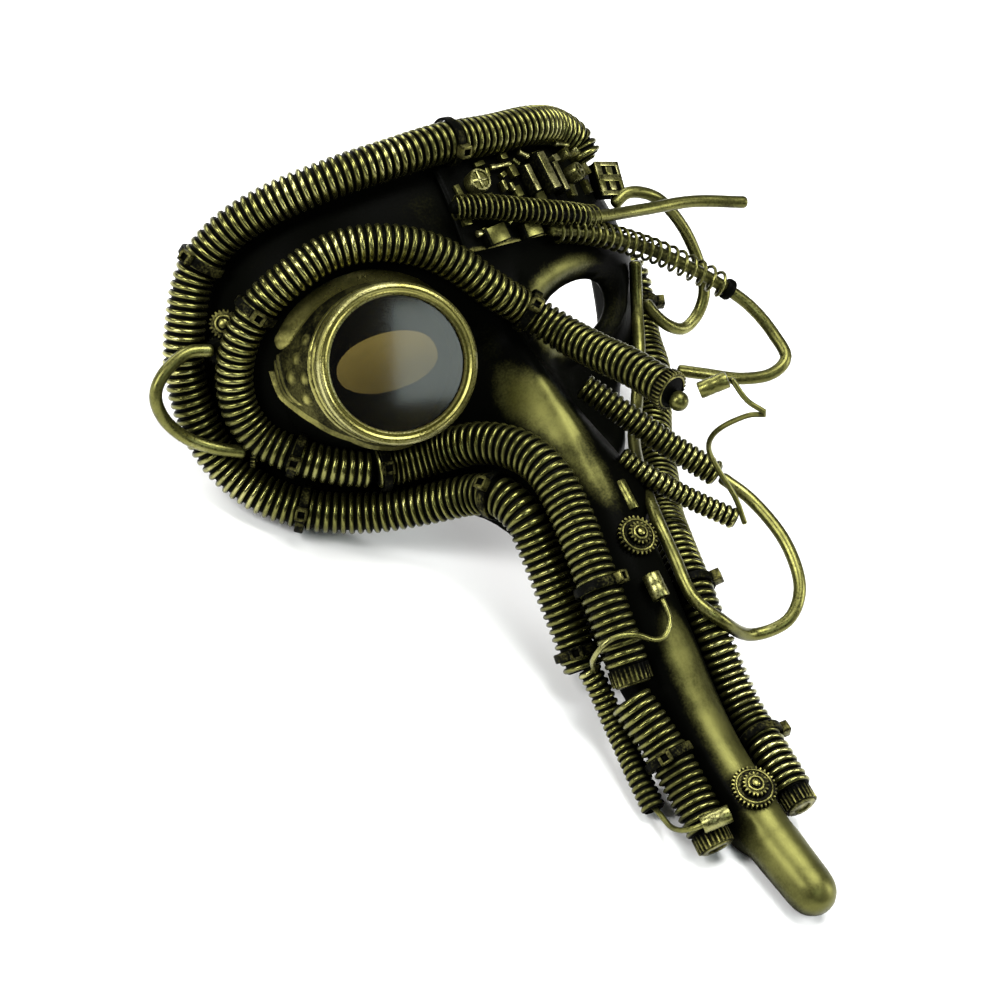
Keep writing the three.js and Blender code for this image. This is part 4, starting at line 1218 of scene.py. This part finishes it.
# The flat disc closing the rim's mouth is painted black, a painted shade for the inside of an open mouth.
profile = [(0, thick + 0.05), (root - 1.3, thick + 0.05), (root - 1, thick)]
turned(bm, profile, place, RIM_STEPS, MOUTH_SHADE_CREST)
ring(bm, root - 0.7, LOW_BEAD, thick, place, RIM_STEPS, RIM_CREST)
make_piece(bm, "toothed_rim_brow", "trim_dark", "rim_brow")
bm = new_bmesh()
made = bmesh.ops.create_uvsphere(bm, u_segments=BALL_FACES[0], v_segments=BALL_FACES[1],
                                 radius=BALL_RADIUS)
set_crest(bm, made["verts"], 1.0)
bead = place @ Matrix.Rotation(math.radians(BALL_TURN), 4, "Z") @ Matrix.Translation(BALL_SHIFT)
bmesh.ops.transform(bm, matrix=bead, verts=made["verts"])
make_piece(bm, "bead_brow", "pipe_brass", "ball_brow")
print("caps:", len(CAPS))

# %% [markdown]
# ## Ferrules
# Four short crimped tubes hold the wires. Each is a spun wall with an open mouth and a rolled edge.

# %% Ferrules
FERRULES = {
    # radius, from, to
    "ferrule_nose_upper": (2, (6.3, -50.5, 101.3), (6.3, -59.5, 106.2)),
    "ferrule_nose_lower": (2.9, (-2, -78, 119.7), (-2, -85.5, 123.2)),
    "ferrule_brow": (2.7, (21.5, -25, 130), (28.5, -23, 136)),
    "ferrule_tip": (2.8, (-23.7, -149.8, 151.6), (-16.2, -147.8, 156.6)),
}
FERRULE_BORE = 0.7  # of the radius
FERRULE_STEPS = 32
for name, (radius, start, end) in FERRULES.items():
    start = Vector(start)
    way = Vector(end) - start
    long = way.length
    inner = radius * FERRULE_BORE
    profile = [(0, 1), (inner, 1), (inner, 0.1), (radius - 0.2, 0), (radius, 0.3), (radius, long * 0.45),
               (radius * 0.96, long * 0.5), (radius, long * 0.55), (radius, long - 0.3),
               (radius - 0.2, long), (inner, long - 0.1), (inner, long - 2.5), (0, long - 2.5)]
    bm = new_bmesh()
    turned(bm, profile, placement(start, way), FERRULE_STEPS)
    keep_in_wall(bm)
    make_piece(bm, "crimped_" + name, "pipe_brass", name)
print("ferrules:", len(FERRULES))

# %% [markdown]
# ## Cable ties
# A tie is a thin strap spun round the hose, with a small square head. The head is four walls round
# a floor painted black, which reads as its slot: the black is painted shade inside the slot.

# %% Ties
TIES = {
    # hose, share of its length, turn of the head about the hose
    "tie_crown_top": ("hose_crown", 0.18, -25),
    "tie_crown_temple": ("hose_crown", 0.416, 60),
    "tie_crown_cheek": ("hose_crown", 0.668, 20),
    "tie_crown_nose": ("hose_crown", 0.836, 10),
    "tie_crown_end": ("hose_crown", 0.985, 40),
    "tie_brow_temple": ("hose_brow", 0.657, 15),
    "tie_brow_bridge": ("hose_brow", 0.235, 0),
    "tie_cheek_start": ("hose_cheek", 0.02, 0),
    "tie_cheek_nose": ("hose_cheek", 0.8, -20),
    "tie_near": ("hose_nose_near", 0.46, 40),
    "tie_far_upper": ("hose_nose_far", 0.675, -40),
    "tie_far_lower": ("hose_nose_far", 0.91, -70),
}
SMALL_TIES = {
    # the same columns
    "brow_low": ("hose_brow", 0.9, 30),
    "far_top": ("hose_nose_far", 0.07, -60),
}
STRAP_THICK = 0.9
STRAP_HALF = 1.4
STRAP_ROUND = 0.3
STRAP_BEVEL = 0.25
STRAP_ROOM = 0.05
STRAP_STEPS = 40
STRAP_CREST = 0.5
HEAD = Vector((3.2, 4.2, 3.8))
HEAD_SIDE = 1.1
HEAD_CHEEK = 0.8
HEAD_CREST = 0.65
SLOT_FLOOR = (HEAD.x * 0.7, HEAD.y - 1, HEAD.z - 1)
FLOOR_SHIFT = 0.6  # towards the hose
SLOT_SHADE_CREST = 0.06


def bevelled_box(bm, size, place, bevel=0.3, crest=0.9):
    """A box about the middle of a place, with rounded edges."""
    layer = bm.verts.layers.float["crest"]
    made = bmesh.ops.create_cube(bm, size=1)
    bmesh.ops.scale(bm, vec=size, verts=made["verts"])
    edges = list({edge for vert in made["verts"] for edge in vert.link_edges})
    bmesh.ops.bevel(bm, geom=edges, offset=bevel, affect="EDGES", segments=2, profile=0.5, material=-1)
    new = [vert for vert in bm.verts if vert[layer] == 0]
    for vert in new:
        vert[layer] = crest
    bmesh.ops.transform(bm, matrix=place, verts=new)


for name, (hose, share, turn) in (TIES | SMALL_TIES).items():
    radius = HOSES[hose][0]
    route = ROUTES[hose]
    distance = route.length * share
    place = placement(route.point(distance), route.tangent(distance), turn=turn)
    inner = radius + STRAP_ROOM
    outer = inner + STRAP_THICK
    profile = [(inner, -STRAP_HALF), (outer - STRAP_BEVEL, -STRAP_HALF), (outer, -STRAP_HALF + STRAP_ROUND),
               (outer, STRAP_HALF - STRAP_ROUND), (outer - STRAP_BEVEL, STRAP_HALF), (inner, STRAP_HALF),
               (inner, -STRAP_HALF)]
    bm = new_bmesh()
    turned(bm, profile, place, STRAP_STEPS, STRAP_CREST)
    head = place @ Matrix.Translation((inner + HEAD.x / 2, 0, 0))
    for side in (-1, 1):
        across = head @ Matrix.Translation((0, side * (HEAD.y - HEAD_SIDE) / 2, 0))
        bevelled_box(bm, (HEAD.x, HEAD_SIDE, HEAD.z), across, crest=HEAD_CREST)
        lengthwise = head @ Matrix.Translation((0, 0, side * (HEAD.z - HEAD_CHEEK) / 2))
        bevelled_box(bm, (HEAD.x, HEAD.y, HEAD_CHEEK), lengthwise, crest=HEAD_CREST)
    # The black floor stands in for the shade inside the head's slot.
    bevelled_box(bm, SLOT_FLOOR, head @ Matrix.Translation((-FLOOR_SHIFT, 0, 0)), crest=SLOT_SHADE_CREST)
    keep_in_wall(bm)
    make_piece(bm, "strap_" + name, "trim_dark", *([name] if name in TIES else []))
print("ties:", len(TIES) + len(SMALL_TIES))

# %% [markdown]
# ## Electronics on the forehead
# Old circuit parts are glued on a bent board beside the crown hose. The board is a grid on the
# shell's net, and the parts are bevelled boxes and turned discs seated on it by row and column. The
# slotted socket has a place of its own.

# %% Board
BOARD_ROWS = (0.5, 1.72)
BOARD_COLUMNS = (-0.42, 2.3)
BOARD_LIFT = 2.2
BOARD_FACES = (40, 16)
BOARD_WALL = 1.6
BOARD_RUB = 0.2
EDGE_RUB = 0.8
LOWER_EDGE = -0.49  # of the flat grid


def bent_board():
    bm = new_bmesh()
    bmesh.ops.create_grid(bm, x_segments=BOARD_FACES[0], y_segments=BOARD_FACES[1], size=0.5)
    set_crest(bm, bm.verts, lambda corner: EDGE_RUB if corner.y < LOWER_EDGE else BOARD_RUB)
    for vert in bm.verts:
        row = BOARD_ROWS[0] + (BOARD_ROWS[1] - BOARD_ROWS[0]) * (0.5 - vert.co.y)
        column = BOARD_COLUMNS[0] + (BOARD_COLUMNS[1] - BOARD_COLUMNS[0]) * (vert.co.x + 0.5)
        vert.co = seat(row, column, BOARD_LIFT).translation
    return bm


board = make_piece(bent_board(), "bent_board", "board_dark", "panel_board")
wall = board.modifiers.new("board", "SOLIDIFY")
wall.thickness = BOARD_WALL * MM
wall.offset = -1
print("board faces", len(board.data.polygons))

# %% Parts on the board
ROUND_PARTS = {
    # row, column, radius, high
    "panel_screw": (0.86, 0.04, 4, 4.5),
    "panel_dial": (0.92, 1.68, 3, 5),
    "panel_knob": (0.6, 1.95, 2.2, 5),
    "panel_nut": (0.66, 2.22, 2, 6),
}
BLOCK_PARTS = {
    # row, column, wide, tall, high, spin, crest of the top
    "panel_bar_left": (0.96, 0.78, 2.6, 10, 4.5, 6, 0.95),
    "panel_bar_middle": (0.9, 1.04, 4.2, 14, 5.5, 6, 0.95),
    "panel_bar_right": (0.98, 1.26, 2.8, 11, 4.5, 6, 0.95),
    "panel_block_left": (1.58, 0.02, 9, 6, 3.6, 8, 0.5),
    "panel_block_right": (1.62, 0.55, 8, 5, 3.2, 4, 0.6),
}
ROUND_STEPS = 40
BRIGHT = 0.9
BODY_CREST = 0.2
CROSS_HIGH = 0.8
CROSS_WIDE = 0.22  # of the radius
TOP_WIDE = 0.82  # of the block's width
TOP_TALL = 0.92  # of the block's length
TOP_HIGH = 0.7
for name, (row, column, radius, high) in ROUND_PARTS.items():
    place = seat(row, column, BOARD_LIFT)
    profile = [(0, 0), (radius, 0), (radius, high - 0.9), (radius - 0.3, high - 0.4),
               (radius - 0.9, high - 0.4), (radius - 1.1, high - 1), (0, high - 1)]
    bm = new_bmesh()
    turned(bm, profile, place, ROUND_STEPS, BRIGHT)
    for spin in (0, 90):
        turn = Matrix.Rotation(math.radians(spin), 4, "Z")
        bar = place @ turn @ Matrix.Translation((0, 0, high - CROSS_HIGH))
        bevelled_box(bm, (2 * radius - 2, radius * CROSS_WIDE, CROSS_HIGH), bar, bevel=0.1)
    make_piece(bm, "turned_" + name, "panel_brass", name)
for name, (row, column, wide, tall, high, spin, top_crest) in BLOCK_PARTS.items():
    place = seat(row, column, BOARD_LIFT, spin)
    bm = new_bmesh()
    middle = place @ Matrix.Translation((0, 0, high / 2))
    bevelled_box(bm, (wide, tall, high), middle, bevel=0.35, crest=BODY_CREST)
    top = place @ Matrix.Translation((0, 0, high))
    bevelled_box(bm, (wide * TOP_WIDE, tall * TOP_TALL, TOP_HIGH), top, bevel=0.2, crest=top_crest)
    make_piece(bm, "boxed_" + name, "panel_brass", name)
SOCKET_PLACE = placement((60.5, 38.5, 49), (0.12, 0.3, 0.94), Vector((1, 0, 0)), -8)
SOCKET_SIZE = Vector((10.5, 12, 5))
SOCKET_FRAME = [
    # middle across, middle up, wide, tall
    (-4, 0, 2.5, 12), (4.5, 0, 1.5, 12), (0, 5.2, 10.5, 1.6), (0, 0.2, 10.5, 2.4), (0, -5.2, 10.5, 1.6),
    (0.4, 2.7, 2.6, 2.8), (0.4, -2.5, 2.6, 3.2),
]
FRAME_HIGH = 1.2
FRAME_CREST = 0.95
INNER_CREST = 0.1
bm = new_bmesh()
body = SOCKET_SIZE - Vector((0.3, 0.3, FRAME_HIGH / 2))
bevelled_box(bm, body, SOCKET_PLACE @ Matrix.Translation((0, 0, body.z / 2)), crest=INNER_CREST)
for across, up, wide, tall in SOCKET_FRAME:
    bar = SOCKET_PLACE @ Matrix.Translation((across, up, SOCKET_SIZE.z - FRAME_HIGH / 2))
    bevelled_box(bm, (wide, tall, FRAME_HIGH), bar, bevel=0.2, crest=FRAME_CREST)
make_piece(bm, "slotted_socket", "panel_brass", "panel_socket")
print("parts on the board:", len(ROUND_PARTS) + len(BLOCK_PARTS) + 1)

# %% [markdown]
# ## Small parts between
# Chips, pins and resistors too small to be solids of their own fill the board. They are boxes and
# rods again, in one mesh, each with its own share of rubbed gold.

# %% Chips, pins and resistors
CHIPS = [
    # row, column, wide, tall, high, spin, crest
    (0.98, 0.38, 1.3, 3.4, 3.2, 4, 0.95), (1.01, 0.5, 1.3, 2.8, 2.8, 10, 0.8),
    (0.82, 0.46, 2.2, 1.6, 2, 20, 0.7), (0.75, 0.26, 1.4, 3, 1.6, -12, 0.6),
    (1.1, 0.16, 2.4, 3.6, 1.4, 0, 0.35), (0.92, -0.24, 2, 5, 1.4, 6, 0.4), (1.08, 0.58, 3, 3.6, 2, 8, 0.5),
    (0.8, 0.62, 2.6, 4, 2.4, 8, 0.55), (1.2, 0.9, 5, 3, 1.6, 5, 0.4),
    (1.18, 1.5, 3, 4, 2.4, -6, 0.7), (0.72, 1.36, 3, 2.4, 4, 12, 0.85), (0.66, 1.62, 2, 3.4, 4.6, 0, 0.7),
    (1.12, 1.9, 2.6, 4.6, 2.2, 0, 0.6), (0.86, 2.02, 2, 4, 3.4, 14, 0.8), (1.52, 1.0, 6, 2, 1.5, 3, 0.75),
    (1.46, 1.62, 5, 3, 2, 6, 0.5), (1.34, -0.3, 3, 2, 2, 0, 0.5), (1.44, 0.3, 3.4, 2, 2.6, 20, 0.8),
    (1.5, -0.1, 2, 2, 2.2, 0, 0.6), (1.4, 0.6, 2, 2.6, 1.8, 0, 0.5), (0.62, 0.2, 4, 1.6, 1.6, 8, 0.5),
    (0.62, 1.1, 4, 1.8, 2.4, 10, 0.6), (0.6, 0.55, 2.6, 2, 3, 0, 0.7),
]
RODS = [
    # row and column of both ends, lift over the board, radius
    (0.71, 0.3, 0.71, 0.6, 2.2, 0.9), (1.52, -0.24, 1.55, 0.08, 2, 1.1), (0.58, 0.78, 0.66, 0.9, 3, 1.0),
    (0.66, 0.66, 0.74, 0.72, 2.6, 0.8), (1.24, 0.2, 1.3, 0.55, 1.6, 0.8), (0.5, 1.5, 0.52, 1.8, 3.2, 1.0),
]
ROD_WAIST = 0.8  # of the radius
bm = new_bmesh()
for row, column, wide, tall, high, spin, crest in CHIPS:
    place = seat(row, column, BOARD_LIFT, spin)
    middle = place @ Matrix.Translation((0, 0, high / 2))
    bevelled_box(bm, (wide, tall, high), middle, bevel=0.2, crest=crest)
for row, column, end_row, end_column, lift, radius in RODS:
    start = seat(row, column, BOARD_LIFT + lift).translation
    way = seat(end_row, end_column, BOARD_LIFT + lift).translation - start
    long = way.length
    waist = radius * ROD_WAIST
    profile = [(0, 0), (radius, 0.1), (radius, long * 0.2), (waist, long * 0.25), (waist, long * 0.75),
               (radius, long * 0.8), (radius, long - 0.1), (0, long)]
    turned(bm, profile, placement(start, way), HUB_STEPS, BRIGHT)
make_piece(bm, "board_chips", "panel_brass")
print("small parts:", len(CHIPS) + len(RODS))

# %% [markdown]
# ## The end
# The dressed mask has to fit the solids. At the end the view layer is updated once more.

# %% Finish
bpy.context.view_layer.update()
